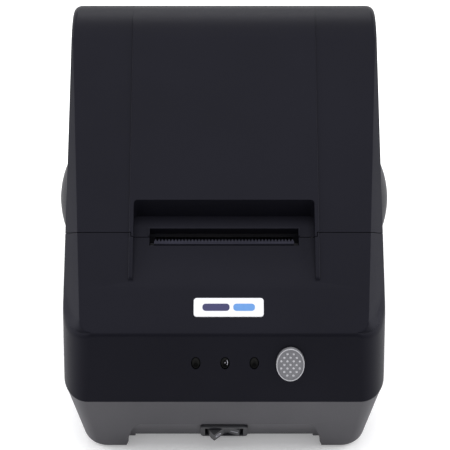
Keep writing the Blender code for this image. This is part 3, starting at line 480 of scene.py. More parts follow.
DRAFT = 0.0165
DRAFT_Z = 120.0
FASCIA_LEAN = radians(15.1)
FASCIA_HEIGHT = 33.0
SLOPE = radians(25.9)
SLOPE_LENGTH = 145.0
TOP_RADIUS = 30.6
BROW = Vector((FASCIA_HEIGHT * sin(FASCIA_LEAN), RIM_Z + FASCIA_HEIGHT * cos(FASCIA_LEAN)))
ALONG = Vector((cos(SLOPE), sin(SLOPE)))
ABOVE = Vector((-sin(SLOPE), cos(SLOPE)))
CORNER = 8.0
CORNER_CUT = 5.0
SLOPE_STOPS = (
    0.6, 1.3, 2.2, 3.3, 4.6, 6.2, 8.0, 12.0, 20.0, 30.0, 50.0, 75.0, 100.0, 125.0, SLOPE_LENGTH,
)
# Half widths where the chamfer begins, and how deep it cuts, from the fascia over the deck to the
# round top and the rear wall.
FOOT_HALF, BROW_HALF, DECK_HALF, TOP_HALF, REAR_HALF = 59.0, 57.0, 62.0, 69.2, 66.0
FASCIA_CUT, DECK_CUT, TOP_CUT, REAR_CUT = 17.0, 7.2, 1.2, 3.0


def on_slope(distance, lift=0.0):
    return BROW + ALONG * distance + ABOVE * lift


TOP_CENTRE = on_slope(SLOPE_LENGTH, -TOP_RADIUS)


def meet(point_a, way_a, point_b, way_b):
    """Where two lines cross."""
    across = way_a.x * way_b.y - way_a.y * way_b.x
    between = point_b - point_a
    return point_a + way_a * ((between.x * way_b.y - between.y * way_b.x) / across)


def skin_ring(turn, wall, bottom):
    """A line over the casing from front to back; turn is 1 on the side face and 0 on the flat top."""
    arc = (sin(turn * pi / 2), 1 - cos(turn * pi / 2))
    reach = HALF_WIDTH - wall

    def spread(inner, soft):
        inner -= wall
        return inner + (reach - inner) * (soft * arc[0] + (1 - soft) * turn)

    def sink(depth, soft):
        return wall + depth * (soft * arc[1] + (1 - soft) * turn)

    lean = Vector((sin(FASCIA_LEAN), cos(FASCIA_LEAN)))
    inward = Vector((cos(FASCIA_LEAN), -sin(FASCIA_LEAN)))
    front = Vector((0.0, RIM_Z)) + inward * sink(FASCIA_CUT, 1.0)
    brow = meet(front, lean, on_slope(0.0, -sink(DECK_CUT, 0.0)), ALONG)
    foot = front + lean * ((bottom - front.y) / lean.y)
    ring = []
    for share in (0.0, 0.35, 0.7):
        inner = FOOT_HALF + (BROW_HALF - FOOT_HALF) * share
        ring.append((spread(inner, 1.0), *foot.lerp(brow, share)))
    for pair in fillet(foot, brow, brow + ALONG * 10, 2.5 + 5.0 * turn, 8):
        ring.append((spread(BROW_HALF, 1.0), *pair))
    start = (Vector(pair) - BROW).dot(ALONG)
    for stop in SLOPE_STOPS:
        share = stop / SLOPE_LENGTH
        near = max(0.0, 1 - stop / CORNER)
        inner = DECK_HALF + (TOP_HALF - DECK_HALF) * share - CORNER_CUT * (1 - (1 - near**2) ** 0.5)
        cut = DECK_CUT + (TOP_CUT - DECK_CUT) * share
        pair = on_slope(start + (SLOPE_LENGTH - start) * share, -sink(cut, 0.0))
        ring.append((spread(inner, near), *pair))
    steps = 36
    for i in range(1, steps + 1):
        share = i / steps
        angle = (pi / 2 + SLOPE) * (1 - share)
        round_off = min(1.0, 2 * share)
        radius = TOP_RADIUS - sink(TOP_CUT + (REAR_CUT - TOP_CUT) * round_off, round_off)
        x = spread(TOP_HALF + (REAR_HALF - TOP_HALF) * round_off, round_off)
        ring.append((x, TOP_CENTRE.x + radius * cos(angle), TOP_CENTRE.y + radius * sin(angle)))
    ring.append((spread(REAR_HALF, 1.0), DEPTH - sink(REAR_CUT, 1.0), bottom))
    return [(x * (1 + DRAFT * max(0.0, 1 - z / DRAFT_Z)), y, z) for x, y, z in ring]


def skin(wall=0.0, bottom=RIM_Z, steps=14):
    half = [skin_ring(i / steps, wall, bottom) for i in range(steps, -1, -1)]
    return loft(half + [[(-x, y, z) for x, y, z in ring] for ring in half[::-1]])


RECESS_HALF = 40.0
RECESS_SLOPE = radians(13.6)
RECESS_BACK_Y = 65.6


def recess(drop, half, overcut, corner):
    """The sunken paper exit: a floor flatter than the deck, and an upright back with round corners."""
    start = on_slope(24.8, -drop)
    back = RECESS_BACK_Y + drop
    end = (back, start.y + (back - start.x) * tan(RECESS_SLOPE))
    early = start - Vector((cos(RECESS_SLOPE), sin(RECESS_SLOPE))) * overcut
    made = piece("helper", prism([tuple(early), end, (back, 125.0), (early.x, 125.0)], -half, half))
    plan = rounded((-half, -20.0), (half, back), corner)
    return shaped(made, "INTERSECT", prism(plan, 40.0, 124.0, "z"))


def panel_band():
    """The raised band: its two long edges are rounded, and it fades into the round top."""
    def outline(lift):
        steps = 24
        top = []
        for i in range(steps + 1):
            angle = pi / 2 + SLOPE - radians(62) * i / steps
            radius = TOP_RADIUS + min(lift, (1 - i / steps) * 1.2 - 0.2)
            top.append((TOP_CENTRE.x + radius * cos(angle), TOP_CENTRE.y + radius * sin(angle)))
        front = [tuple(on_slope(at, up)) for at, up in ((24.6, -0.2), (25.8, 0.45 * lift), (27.0, lift))]
        return front + top + [tuple(on_slope(SLOPE_LENGTH, -2.0)), tuple(on_slope(24.6, -2.0))]
    levels = [(42.0, 0.3), (41.95, 0.62), (41.8, 0.84), (41.55, 0.96), (41.2, 1.0)]
    rings = [[(-x, *pair) for pair in outline(lift)] for x, lift in levels]
    rings += [[(x, *pair) for pair in outline(lift)] for x, lift in levels[::-1]]
    return loft(rings)


SEAM_TOP = Vector((52.2, 87.5))
SEAM_FOOT = Vector((82.8, 58.0))
SEAM_STEP = 2.6
HINGE = (176.0, 68.0)
BARREL_R = 7.0


def seam_y(z):
    """Where the leaning part of the seam runs at a height."""
    return SEAM_TOP.x + (z - SEAM_TOP.y) * (SEAM_FOOT.x - SEAM_TOP.x) / (SEAM_FOOT.y - SEAM_TOP.y)


def lid_space(shrink):
    """The space of the lid: round under its barrel when shrunk, and open there when grown.

    Inside the recess the lid's edge runs further forward than on the deck.
    """
    along = (SEAM_FOOT - SEAM_TOP).normalized()
    away = Vector((-along.y, along.x)) * shrink
    low = SEAM_FOOT.y + shrink
    top = SEAM_TOP - along * 25 + away
    foot = meet(top, along, Vector((0.0, low)), Vector((1.0, 0.0)))
    turns = [pi / 32 * i for i in range(17)]
    barrel = [(HINGE[0] + BARREL_R * sin(a), HINGE[1] - BARREL_R * cos(a)) for a in turns]
    barrel.append((200.0, HINGE[1]))
    if shrink < 0:
        barrel = [(200.0, HINGE[1] - BARREL_R - GAP)]
    step = [(160.0 - shrink, low), (163.0 - shrink, barrel[0][1])]
    outline = [tuple(top), tuple(foot)] + step + barrel + [(200.0, 150.0), (top.x, 150.0)]
    shift = 1.4 * shrink - SEAM_STEP
    edge = [(75.0, shift), (75.0, 3.0), (97.0, 3.0), (97.0, shift)]
    half = RECESS_HALF + 1 - shrink
    ledge = prism([(seam_y(z) + offset, z) for z, offset in edge], -half, half)
    return shaped(piece("helper", prism(outline, -100, 100)), "UNION", ledge)


def casing_piece(name):
    """The whole casing's wall, from which the lid and the housing are each cut."""
    made = piece(name, skin(), black_abs)
    hollow = piece("helper", skin(WALL, RIM_Z - 8))
    shaped(hollow, "DIFFERENCE", recess(WALL, RECESS_HALF + 2.6, 8.0, 3.0))
    shaped(made, "UNION", panel_band())
    return shaped(made, "DIFFERENCE", recess(0.0, RECESS_HALF, 0.0, 1.6), hollow)


# ---------------------------------------------------------------- lid
# The lid carries the platen. It has a disc-shaped bulge on each side to grip it by, a round
# barrel at the back for the hinge, and a notch with a thin raised rim where the paper comes out.

SLOT_HALF = 33.0
SLOT_BACK_Y = 58.8
GRIP = (86.4, 79.4)
GRIP_R = 17.4
GRIP_BULGE = 4.0
BOSSES = (26.0, 74.0)
EAR_X = (50.0, 58.0)
ROUND_STEPS = 72


def floor_z(y):
    start = on_slope(24.8)
    return start.y + (y - start.x) * tan(RECESS_SLOPE)


lid = casing_piece("lid_moulding")
shaped(lid, "INTERSECT", lid_space(GAP / 2))
shaped(lid, "DIFFERENCE", prism(
    [(40, 60), (SLOT_BACK_Y, 60), (SLOT_BACK_Y, 100), (40, 100)], -SLOT_HALF, SLOT_HALF,
))
ball = (GRIP_R**2 + GRIP_BULGE**2) / (2 * GRIP_BULGE)
bulge = [[(66.0, *pair) for pair in oval(GRIP, (GRIP_R, GRIP_R), ROUND_STEPS)]]
for i in range(12):
    out = GRIP_BULGE * (i / 12) ** 0.8
    across = (ball**2 - (ball - GRIP_BULGE + out) ** 2) ** 0.5
    bulge.append([(HALF_WIDTH + out, *pair) for pair in oval(GRIP, (across, across), ROUND_STEPS)])
bulge.append([(HALF_WIDTH + GRIP_BULGE, *pair) for pair in oval(GRIP, (2.0, 2.0), ROUND_STEPS)])
pin_holes = both_sides(rod(HINGE, 2.3, 44.0, 63.0, steps=24))
shaped(
    lid, "UNION",
    both_sides(loft(bulge)),
    together(
        rod(HINGE, BARREL_R - 0.01, -69.0, 69.0, steps=56),
        both_sides(rod(BOSSES, 3.5, 81.0, 96.0, "z")),
    ),
)
shaped(
    lid, "DIFFERENCE",
    both_sides(box((EAR_X[0] - 0.5, EAR_X[1] + 0.5), (167.0, 186.0), (60.0, 75.5))),
    together(pin_holes, both_sides(rod(BOSSES, 1.6, 70.0, 90.0, "z", 16))),
)
rim_low = floor_z(SLOT_BACK_Y)
rim_bar = prism([
    (SLOT_BACK_Y, rim_low - 0.8), (SLOT_BACK_Y, rim_low + 0.3), (SLOT_BACK_Y + 0.7, rim_low + 0.55),
    (SLOT_BACK_Y + 0.9, rim_low - 0.4),
], -SLOT_HALF - 0.7, SLOT_HALF + 0.7)
rim_cheek_y = seam_y(floor_z(54.0)) - SEAM_STEP + 0.4
rim_cheek = prism([
    (rim_cheek_y, floor_z(rim_cheek_y) - 0.5), (rim_cheek_y, floor_z(rim_cheek_y) + 0.3),
    (SLOT_BACK_Y + 0.4, rim_low + 0.4), (SLOT_BACK_Y + 0.4, rim_low - 0.5),
], SLOT_HALF - 0.02, SLOT_HALF + 0.7)
shaped(lid, "UNION", rim_bar, both_sides(rim_cheek))
soft_edges(lid, 0.0)
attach(lid, "cover")
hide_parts("cover_shell")

# ---------------------------------------------------------------- upper housing
# The front deck, fascia, sides and rear wall. Screw posts and hinge ears are moulded inside,
# and the fascia has oval holes for three lights and for the feed button.

LABEL = (2.0, 12.8)
LABEL_SIZE = (30.4, 8.8)
LIGHTS = {"led_power": -12.3, "led_error": 0.4, "led_paper": 13.1}
LIGHT_UP = 19.2
LIGHT_SIZE = (1.75, 2.75)
BUTTON = (28.8, 19.0)
BUTTON_SIZE = (6.2, 8.1)
SLOT_FRONT_Y = 50.0
SHELF_UNDER = 55.0
EAR_R = 6.2

FASCIA = matrix_of(
    (0.0, 0.0, RIM_Z), (1.0, 0.0, 0.0),
    (0.0, sin(FASCIA_LEAN), cos(FASCIA_LEAN)), (0.0, cos(FASCIA_LEAN), -sin(FASCIA_LEAN)),
)
DECK = matrix_of((0.0, *BROW), (1.0, 0.0, 0.0), (0.0, *ALONG), (0.0, *ABOVE))

housing = casing_piece("upper_housing_moulding")
shaped(
    housing, "DIFFERENCE",
    lid_space(-GAP / 2),
    prism([(SLOT_FRONT_Y, 60), (80, 60), (80, 100), (SLOT_FRONT_Y, 100)], -SLOT_HALF, SLOT_HALF),
)
ear_root = [
    (HINGE[0] - EAR_R, 52.0), (DEPTH - 1.0, 52.0),
    (HINGE[0] + EAR_R, HINGE[1]), (HINGE[0] - EAR_R, HINGE[1]),
]
shaped(
    housing, "UNION",
    both_sides(prism(oval(HINGE, (EAR_R, EAR_R), 40), *EAR_X)),
    both_sides(prism(ear_root, *EAR_X)),
    together(
        both_sides(rod(SCREW_POSTS[0], POST_R, RIM_Z, 76.0, "z")),
        both_sides(rod(SCREW_POSTS[1], POST_R, RIM_Z, SHELF_UNDER - GAP, "z")),
    ),
    both_sides(box((54.0, 69.0), (148.5, 151.5), (RIM_Z, SHELF_UNDER - GAP))),
    together(*(laid(rod(at, 2.6, WALL - 1.0, 9.2, "z"), FASCIA) for at in ((-20.0, 9.0), (40.0, 27.0)))),
)
label_low = (LABEL[0] - LABEL_SIZE[0] / 2 - GAP, LABEL[1] - LABEL_SIZE[1] / 2 - GAP)
label_high = (LABEL[0] + LABEL_SIZE[0] / 2 + GAP, LABEL[1] + LABEL_SIZE[1] / 2 + GAP)
button_hole = (BUTTON_SIZE[0] + GAP, BUTTON_SIZE[1] + GAP)
light_hole = (LIGHT_SIZE[0] + GAP, LIGHT_SIZE[1] + GAP)
shaped(housing, "DIFFERENCE", together(
    pin_holes,
    laid(prism(rounded(label_low, label_high, 1.6), -0.6, 2.0, "z"), DECK),
    laid(prism(oval(BUTTON, button_hole, ROUND_STEPS), -3, 4, "z"), FASCIA),
    *(both_sides(rod(at, 1.6, RIM_Z - 2, 50.0, "z", 16)) for at in SCREW_POSTS),
    *(laid(prism(oval((x, LIGHT_UP), light_hole, 40), -3, 4, "z"), FASCIA) for x in LIGHTS.values()),
))
soft_edges(housing, 0.0)
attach(housing, "casing")
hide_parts("upper_housing")

# ---------------------------------------------------------------- tear bar
# A steel strip, blackened so that it doesn't glare, stands on a foot behind the slot's lip and
# leans back. Its rear edge is stamped into sharp teeth that the paper is torn against.


def metal(name, colours, roughness, streak):
    """Bare or plated metal: streaks across x from rolling, streak millimetres apart."""
    made, tree, shader, spot = new_finish(name)
    stretched = wire(tree, "ShaderNodeMapping", {
        "Vector": spot, "Scale": (30.0, 1000 / streak, 1000 / streak),
    })
    lines = wire(tree, "ShaderNodeTexNoise", {"Vector": stretched, "Scale": 1.0, "Detail": 3.0})
    stain = wire(tree, "ShaderNodeTexNoise", {"Vector": spot, "Scale": 1000 / 8.0, "Detail": 2.0})
    coat(tree, shader, colours, stain, lines, roughness, (0.4, 0.01))
    shader.inputs["Metallic"].default_value = 1.0
    return made


def tree_with(name, *sizes):
    """A Geometry Nodes tree that takes a shape and named sizes, and returns its input sockets."""
    tree = bpy.data.node_groups.new(name, "GeometryNodeTree")
    tree.interface.new_socket("Shape", in_out="INPUT", socket_type="NodeSocketGeometry")
    tree.interface.new_socket("Finish", in_out="INPUT", socket_type="NodeSocketMaterial")
    for size in sizes:
        kind = "NodeSocketInt" if size.endswith("count") else "NodeSocketFloat"
        tree.interface.new_socket(size, in_out="INPUT", socket_type=kind)
    tree.interface.new_socket("Shape", in_out="OUTPUT", socket_type="NodeSocketGeometry")
    return tree, wire(tree, "NodeGroupInput").outputs


def ends_with(tree, shape, finish):
    """Turns instances into mesh and gives it its finish."""
    solid = wire(tree, "GeometryNodeRealizeInstances", {"Geometry": shape})
    painted = wire(tree, "GeometryNodeSetMaterial", {"Geometry": solid, "Material": finish})
    wire(tree, "NodeGroupOutput", {"Shape": painted})


def grow(target, tree, finish, sizes):
    """Runs a tree on a piece; the sizes are in millimetres, and the result is a plain mesh."""
    values = {"Finish": finish, **sizes}
    step = target.modifiers.new(tree.name, "NODES")
    step.node_group = tree
    for item in tree.interface.items_tree:
        if item.item_type == "SOCKET" and item.in_out == "INPUT" and item.name in values:
            value = values[item.name]
            step[item.identifier] = value / 1000 if isinstance(value, float) else value
    settle(target)
    face_outwards(target.data)
    target.data.shade_smooth()
    target.data.set_sharp_from_angle(angle=radians(40))


def local_piece(name, shape, finish=None):
    """A piece in a face's own frame; laid_in() later puts it in place."""
    made = piece(name, shape, finish)
    made.data.transform(Matrix.Translation((0.0, DEPTH / 2000, 0.0)))
    return made


def laid_in(target, matrix):
    """Moves a finished mesh from a face's frame, in metres, to its place."""
    moved = matrix.copy()
    moved.translation = in_place(matrix.translation)
    target.data.transform(moved)
    if matrix.to_3x3().determinant() < 0:
        target.data.flip_normals()


saw, pins = tree_with("saw_teeth", "Tooth count", "Pitch", "Reach", "Thickness", "Edge")
pitch = wire(saw, "ShaderNodeCombineXYZ", {"X": pins["Pitch"]})
line = wire(saw, "GeometryNodeMeshLine", {"Count": pins["Tooth count"], "Offset": pitch}, mode="OFFSET")
steps_wide = wire(saw, "ShaderNodeMath", {
    0: pins["Tooth count"], 1: -0.5, 2: 0.5,
}, operation="MULTIPLY_ADD")
first = wire(saw, "ShaderNodeMath", {0: steps_wide, 1: pins["Pitch"]}, operation="MULTIPLY")
corner = wire(saw, "ShaderNodeCombineXYZ", {"X": first, "Y": pins["Edge"], "Z": pins["Thickness"]})
row_at = wire(saw, "ShaderNodeVectorMath", {0: corner, 1: (1.0, 1.0, -0.5)}, operation="MULTIPLY")
row = wire(saw, "GeometryNodeTransform", {"Geometry": line, "Translation": row_at})
wedge = wire(saw, "GeometryNodeMeshCylinder", {"Vertices": 3, "Radius": 1.0, "Depth": 1.0})
aimed = wire(saw, "GeometryNodeTransform", {"Geometry": wedge, "Rotation": (0.0, 0.0, pi / 2)})
size = wire(saw, "ShaderNodeCombineXYZ", {
    "X": pins["Pitch"], "Y": pins["Reach"], "Z": pins["Thickness"],
})
scale = wire(saw, "ShaderNodeVectorMath", {0: size, 1: (0.5, 2 / 3, 1.0)}, operation="MULTIPLY")
shift = wire(saw, "ShaderNodeVectorMath", {0: size, 1: (0.0, 1 / 3, 0.0)}, operation="MULTIPLY")
tooth = wire(saw, "GeometryNodeTransform", {"Geometry": aimed, "Scale": scale, "Translation": shift})
teeth = wire(saw, "GeometryNodeInstanceOnPoints", {"Points": row, "Instance": tooth})
bar = wire(saw, "GeometryNodeJoinGeometry", {"Geometry": [pins["Shape"], teeth]})
ends_with(saw, bar, pins["Finish"])

# Blackened steel is darker and duller than bare steel, and its edges catch a thin light line.
tear_steel = metal("blackened_tear_steel", ("#1d1d23", "#25252d"), (0.34, 0.5), 0.6)
TEAR_HALF = 30.9
TEETH = 42
TEAR_LEAN = radians(20)
TEAR = matrix_of(
    (0.0, SLOT_FRONT_Y + 0.5, floor_z(SLOT_FRONT_Y) + 0.5), (1.0, 0.0, 0.0),
    (0.0, cos(TEAR_LEAN), sin(TEAR_LEAN)), (0.0, -sin(TEAR_LEAN), cos(TEAR_LEAN)),
)
strip = prism(rounded((-TEAR_HALF, 0.0), (TEAR_HALF, 1.3), 0.2, 3), -0.6, 0.0, "z")
tear_bar = local_piece("tear_strip", strip)
grow(tear_bar, saw, tear_steel, {
    "Tooth count": TEETH, "Pitch": 2 * TEAR_HALF / TEETH, "Reach": 1.35, "Thickness": 0.58, "Edge": 1.25,
})
laid_in(tear_bar, TEAR)
foot_top = floor_z(SLOT_FRONT_Y) + 0.35
tear_foot = piece("tear_strip_foot", box(
    (-TEAR_HALF, TEAR_HALF), (SLOT_FRONT_Y + GAP, SLOT_FRONT_Y + 1.3), (foot_top - 5.0, foot_top),
), tear_steel)
soft_edges(tear_foot, 0.15)
for part in (tear_bar, tear_foot):
    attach(part, "casing")
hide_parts("tear_bar")

# ---------------------------------------------------------------- label plate
# A white vinyl label on a rigid plate, set in a shallow seat on the deck. It is printed with two
# plain bars, one navy and one pale blue, and nothing that can be read.


def printed(name, hue, shade):
    """Screen-printed ink or vinyl: even, faintly mottled, with a soft gloss."""
    made, tree, shader, spot = new_finish(name)
    mottle = wire(tree, "ShaderNodeTexNoise", {"Vector": spot, "Scale": 1000 / 3.0, "Detail": 2.0})
    fine = wire(tree, "ShaderNodeTexNoise", {"Vector": spot, "Scale": 1000 / 0.4})
    coat(tree, shader, (hue, shade), mottle, fine, (0.38, 0.38), (0.15, 0.01))
    shader.inputs["Specular IOR Level"].default_value = 0.4
    return made


vinyl = printed("white_label_vinyl", "#d9dade", "#e6e6ea")
navy_ink = printed("navy_screen_ink", "#15134c", "#1a1856")
blue_ink = printed("pale_blue_screen_ink", "#4f84c4", "#5a8fce")
def on_label(low, high, radius):
    low, high = ((LABEL[0] + x, LABEL[1] + y) for x, y in (low, high))
    return rounded(low, high, radius)


plate_rings = []
for height, inset in ((-0.3, 0.0), (0.18, 0.0), (0.26, 0.04), (0.3, 0.14)):
    half = (LABEL_SIZE[0] / 2 - inset, LABEL_SIZE[1] / 2 - inset)
    outline = on_label((-half[0], -half[1]), half, 1.4 - inset)
    plate_rings.append([(*pair, height) for pair in outline])
plate = piece("label_plate", laid(loft(plate_rings), DECK), vinyl)
soft_edges(plate, 0.0)
bars = (
    ("label_bar_navy", navy_ink, (-11.4, -1.7), (0.4, 1.7)),
    ("label_bar_blue", blue_ink, (2.0, -1.7), (11.4, 1.7)),
)
for name, ink, low, high in bars:
    bar_print = piece(name, laid(prism(on_label(low, high, 1.45), 0.29, 0.33, "z"), DECK), ink)
    soft_edges(bar_print, 0.0)
    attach(bar_print, "casing")
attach(plate, "casing")
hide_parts("badge_plate")

# ---------------------------------------------------------------- indicator lights
# Three oval light pipes of smoked polycarbonate, unlit, set just behind the fascia. The pipe of
# the middle light has a small bright metal chip in its dished face, which stands for its reflector
# and is partly a painted glint, and a bright metal crescent at its right, which is a painted glint.

smoked, tree, shader, spot = new_finish("smoked_polycarbonate")
haze = wire(tree, "ShaderNodeTexNoise", {"Vector": spot, "Scale": 1000 / 1.5})
tint = wire(tree, "ShaderNodeMapRange", {"Value": haze, "To Min": 0.001, "To Max": 0.003})
feed(tree, shader, {"Base Color": tint, "Roughness": 0.18, "Specular IOR Level": 0.06})


def stacked(centre, radii, steps, profile):
    """Ovals in a stack; the profile gives each one's height and its share of the radii."""
    rings = [(depth, oval(centre, (radii[0] * k, radii[1] * k), steps)) for depth, k in profile]
    return loft([[(*pair, depth) for pair in ring] for depth, ring in rings])


LENS_PROFILE = (
    (9.1, 0.8), (3.2, 0.8), (3.2, 1.0), (0.6, 1.0), (0.42, 0.97), (0.36, 0.88),
    (0.5, 0.7), (0.85, 0.45), (1.0, 0.2), (1.03, 0.05),
)
for name, x in LIGHTS.items():
    shape = stacked((x, LIGHT_UP), LIGHT_SIZE, 40, LENS_PROFILE)
    lens = piece(name + "_lens", laid(shape, FASCIA), smoked)
    soft_edges(lens, 0.0, 50.0)
    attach(lens, "casing")
    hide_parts(name)

# Bright metal for the middle light: the chip stands for its reflector and is partly a painted glint.
bright = metal("reflector_and_painted_glint", ("#9a9aa4", "#b4b4bc"), (0.25, 0.4), 0.5)
middle = LIGHTS["led_error"]
facets = ((-0.45, -0.5), (0.5, -0.35), (0.1, 0.75))
levels = ((1.0, 1.1), (0.5, 0.5))
chip = loft([[(middle + x * k, LIGHT_UP + u * k, depth) for x, u in facets] for k, depth in levels])
# The crescent is a painted glint, put where a highlight lies on the right of the middle lens.
turns = [radians(-35 + 10 * i) for i in range(9)]
glint_crescent = [(middle + 1.2 * cos(a), LIGHT_UP + 1.9 * sin(a)) for a in turns]
glint_crescent += [(middle + 1.0 * cos(a), LIGHT_UP + 1.85 * sin(a)) for a in turns[::-1]]
reflector_and_glint = together(chip, prism(glint_crescent, 0.42, 1.0, "z"))
reflector = piece("led_error_reflector_and_glint", laid(reflector_and_glint, FASCIA), bright)
soft_edges(reflector, 0.0)
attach(reflector, "casing")

# ---------------------------------------------------------------- feed button
# An oval key of light grey ABS with a thin, glossier rim. Its face is sunk a little and covered
# in small raised dots in staggered rows, so that a finger finds it. The rim and the dots are
# painted a lighter grey, which is a painted highlight.

# A lighter, glossier grey for the key's rim and dots: the lighter colour is a painted highlight.
highlight_grey_abs = moulded("painted_highlight_grey_abs", ("#b2b2b6", "#bebec2"), (0.2, 0.3), 0.6, 0.002, 0.5)
grey_abs = moulded("grey_key_abs", ("#6c6c70", "#78787c"), (0.42, 0.52), 0.6, 0.01, 0.4)
dots, pins = tree_with(
    "staggered_dots", "Column count", "Row count", "Across", "Up", "Half width", "Half height",
    "Radius", "Height", "Face",
)
dots.interface.new_socket("Dot highlight finish", in_out="INPUT", socket_type="NodeSocketMaterial")
span = []
for count, pitch in (("Column count", "Across"), ("Row count", "Up")):
    gaps = wire(dots, "ShaderNodeMath", {0: pins[count], 1: -1.0}, operation="ADD")
    span.append(wire(dots, "ShaderNodeMath", {0: gaps, 1: pins[pitch]}, operation="MULTIPLY"))
grid = wire(dots, "GeometryNodeMeshGrid", {
    "Size X": span[0], "Size Y": span[1],
    "Vertices X": pins["Column count"], "Vertices Y": pins["Row count"],
})
cell = wire(dots, "ShaderNodeCombineXYZ", {"X": pins["Across"], "Y": pins["Up"]})
half_cell = wire(dots, "ShaderNodeVectorMath", {0: cell, 1: (0.5, 0.5, 0.0)}, operation="MULTIPLY")
shifted = wire(dots, "GeometryNodeTransform", {"Geometry": grid, "Translation": half_cell})
lattice = wire(dots, "GeometryNodeJoinGeometry", {"Geometry": [grid, shifted]})
# The z of this size is zero, and the node gives zero for a division by zero: height doesn't count.
face_size = wire(dots, "ShaderNodeCombineXYZ", {"X": pins["Half width"], "Y": pins["Half height"]})
here = wire(dots, "GeometryNodeInputPosition")
share = wire(dots, "ShaderNodeVectorMath", {0: here, 1: face_size}, operation="DIVIDE")
away = wire(dots, "ShaderNodeVectorMath", {0: share}, operation="LENGTH")
inside = wire(dots, "FunctionNodeCompare", {0: away.outputs["Value"], 1: 1.0}, operation="LESS_THAN")
bead = wire(dots, "GeometryNodeMeshUVSphere", {"Segments": 12, "Rings": 6, "Radius": pins["Radius"]})
flat = wire(dots, "ShaderNodeMath", {0: pins["Height"], 1: pins["Radius"]}, operation="DIVIDE")
squash = wire(dots, "ShaderNodeCombineXYZ", {"X": 1.0, "Y": 1.0, "Z": flat})
low_bead = wire(dots, "GeometryNodeTransform", {"Geometry": bead, "Scale": squash})
face_at = wire(dots, "ShaderNodeCombineXYZ", {"Z": pins["Face"]})
lattice_at = wire(dots, "GeometryNodeTransform", {"Geometry": lattice, "Translation": face_at})
beads = wire(dots, "GeometryNodeInstanceOnPoints", {
    "Points": lattice_at, "Instance": low_bead, "Selection": inside,
})
solid = wire(dots, "GeometryNodeRealizeInstances", {"Geometry": beads})
# The dots take the lighter grey, a painted highlight.
highlighted_beads = wire(dots, "GeometryNodeSetMaterial", {"Geometry": solid, "Material": pins["Dot highlight finish"]})
key_body = wire(dots, "GeometryNodeSetMaterial", {"Geometry": pins["Shape"], "Material": pins["Finish"]})
key_with_dots = wire(dots, "GeometryNodeJoinGeometry", {"Geometry": [key_body, highlighted_beads]})
wire(dots, "NodeGroupOutput", {"Shape": key_with_dots})


def hoop(outer, inner, low, high):
    """A flat ring between two outlines with the same number of points."""
    count = len(outer)
    levels = ((outer, low), (outer, high), (inner, high), (inner, low))
    points = [(*pair, level) for outline, level in levels for pair in outline]
    faces = []
    for band in range(4):
        near, far = band * count, (band + 1) % 4 * count
        for i in range(count):
            j = (i + 1) % count
            faces.append((near + i, near + j, far + j, far + i))
    return points, faces


key_profile = (
    (5.5, 0.35), (WALL + GAP + 1.0, 0.35), (WALL + GAP + 1.0, 1.14), (WALL + GAP, 1.14), (WALL + GAP, 1.0),
    (-0.9, 1.0), (-1.25, 0.985), (-1.44, 0.955), (-1.5, 0.925), (-1.42, 0.9), (-1.16, 0.885),
    (-1.14, 0.8), (-1.2, 0.5), (-1.22, 0.2), (-1.22, 0.03),
)
key = local_piece("feed_key", stacked((0, 0), BUTTON_SIZE, ROUND_STEPS, key_profile), grey_abs)
grow(key, dots, grey_abs, {
    "Column count": 7, "Row count": 7, "Across": 2.7, "Up": 3.5, "Half width": 5.0, "Half height": 6.9,
    "Radius": 0.55, "Height": 0.28, "Face": -1.17, "Dot highlight finish": highlight_grey_abs,
})
laid_in(key, FASCIA @ Matrix.Translation((*BUTTON, 0.0)))
rim_outer = oval(BUTTON, (BUTTON_SIZE[0] * 0.975, BUTTON_SIZE[1] * 0.975), ROUND_STEPS)
rim_inner = oval(BUTTON, (BUTTON_SIZE[0] * 0.915, BUTTON_SIZE[1] * 0.92), ROUND_STEPS)
# The rim takes the lighter grey, a painted highlight.
key_rim = piece("feed_key_rim", laid(hoop(rim_outer, rim_inner, -1.49, -1.2), FASCIA), highlight_grey_abs)
soft_edges(key_rim, 0.0)
for part in (key, key_rim):
    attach(part, "button")
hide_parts("feed_button")

# ---------------------------------------------------------------- power switch
# A snap-in rocker switch of black nylon under the arch. The rocker has two flat cheeks that meet
# in a shallow V, with a line and a circle pad-printed in white, the usual marks for on and off.

nylon = moulded("black_moulded_nylon", ("#1b1b1f", "#232328"), (0.32, 0.45), 0.5, 0.01, 0.3)
white_ink = printed("white_pad_print", "#b9b9c2", "#c6c6ce")
BEZEL = (21.0, 14.5)


def bezel_ring(depth, inset):
    half = (BEZEL[0] / 2 - inset, BEZEL[1] / 2 - inset)
    return [(*pair, depth) for pair in rounded((-half[0], -half[1]), half, 1.6 - inset)]


switch = piece("switch_bezel", laid(loft([
    bezel_ring(-GAP, 0.0), bezel_ring(-1.0, 0.0), bezel_ring(-1.3, 0.1), bezel_ring(-1.5, 0.45),
]), SWITCH), nylon)
shaped(
    switch, "UNION", laid(box((-9.3, 9.3), (-6.3, 6.3), (-0.9, 14.0)), SWITCH),
    laid(together(*(box((x - 2.4, x + 2.4), (-0.4, 0.4), (13.5, 21.0)) for x in (-5.5, 5.5))), SWITCH),
)
shaped(switch, "DIFFERENCE", laid(box((-8.5, 8.5), (-5.2, 5.2), (-3.0, 9.5)), SWITCH))
soft_edges(switch, 0.12)
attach(switch, "casing")
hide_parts("power_switch_frame")

lobes = []
for side in (-1, 1):
    lobe = [(side * 0.9, -3.2)]
    lobe += [(side * 7.8 * cos(a), 7.8 * sin(a)) for a in (radians(-44 + 5 * i) for i in range(11))]
    lobe += [(side * 4.6, 4.0)]
    lobes += lobe if side > 0 else lobe[::-1]
ROCKER = SWITCH @ Matrix.Translation((0.0, 0.0, 2.2)) @ Matrix.Rotation(-radians(12.0), 4, "Y")
rocker = piece("rocker_key", laid(prism(lobes, -4.9, 4.9, "y"), ROCKER), nylon)
soft_edges(rocker, 0.3, 30.0, 3)
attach(rocker, "rocker")
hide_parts("power_switch_rocker")

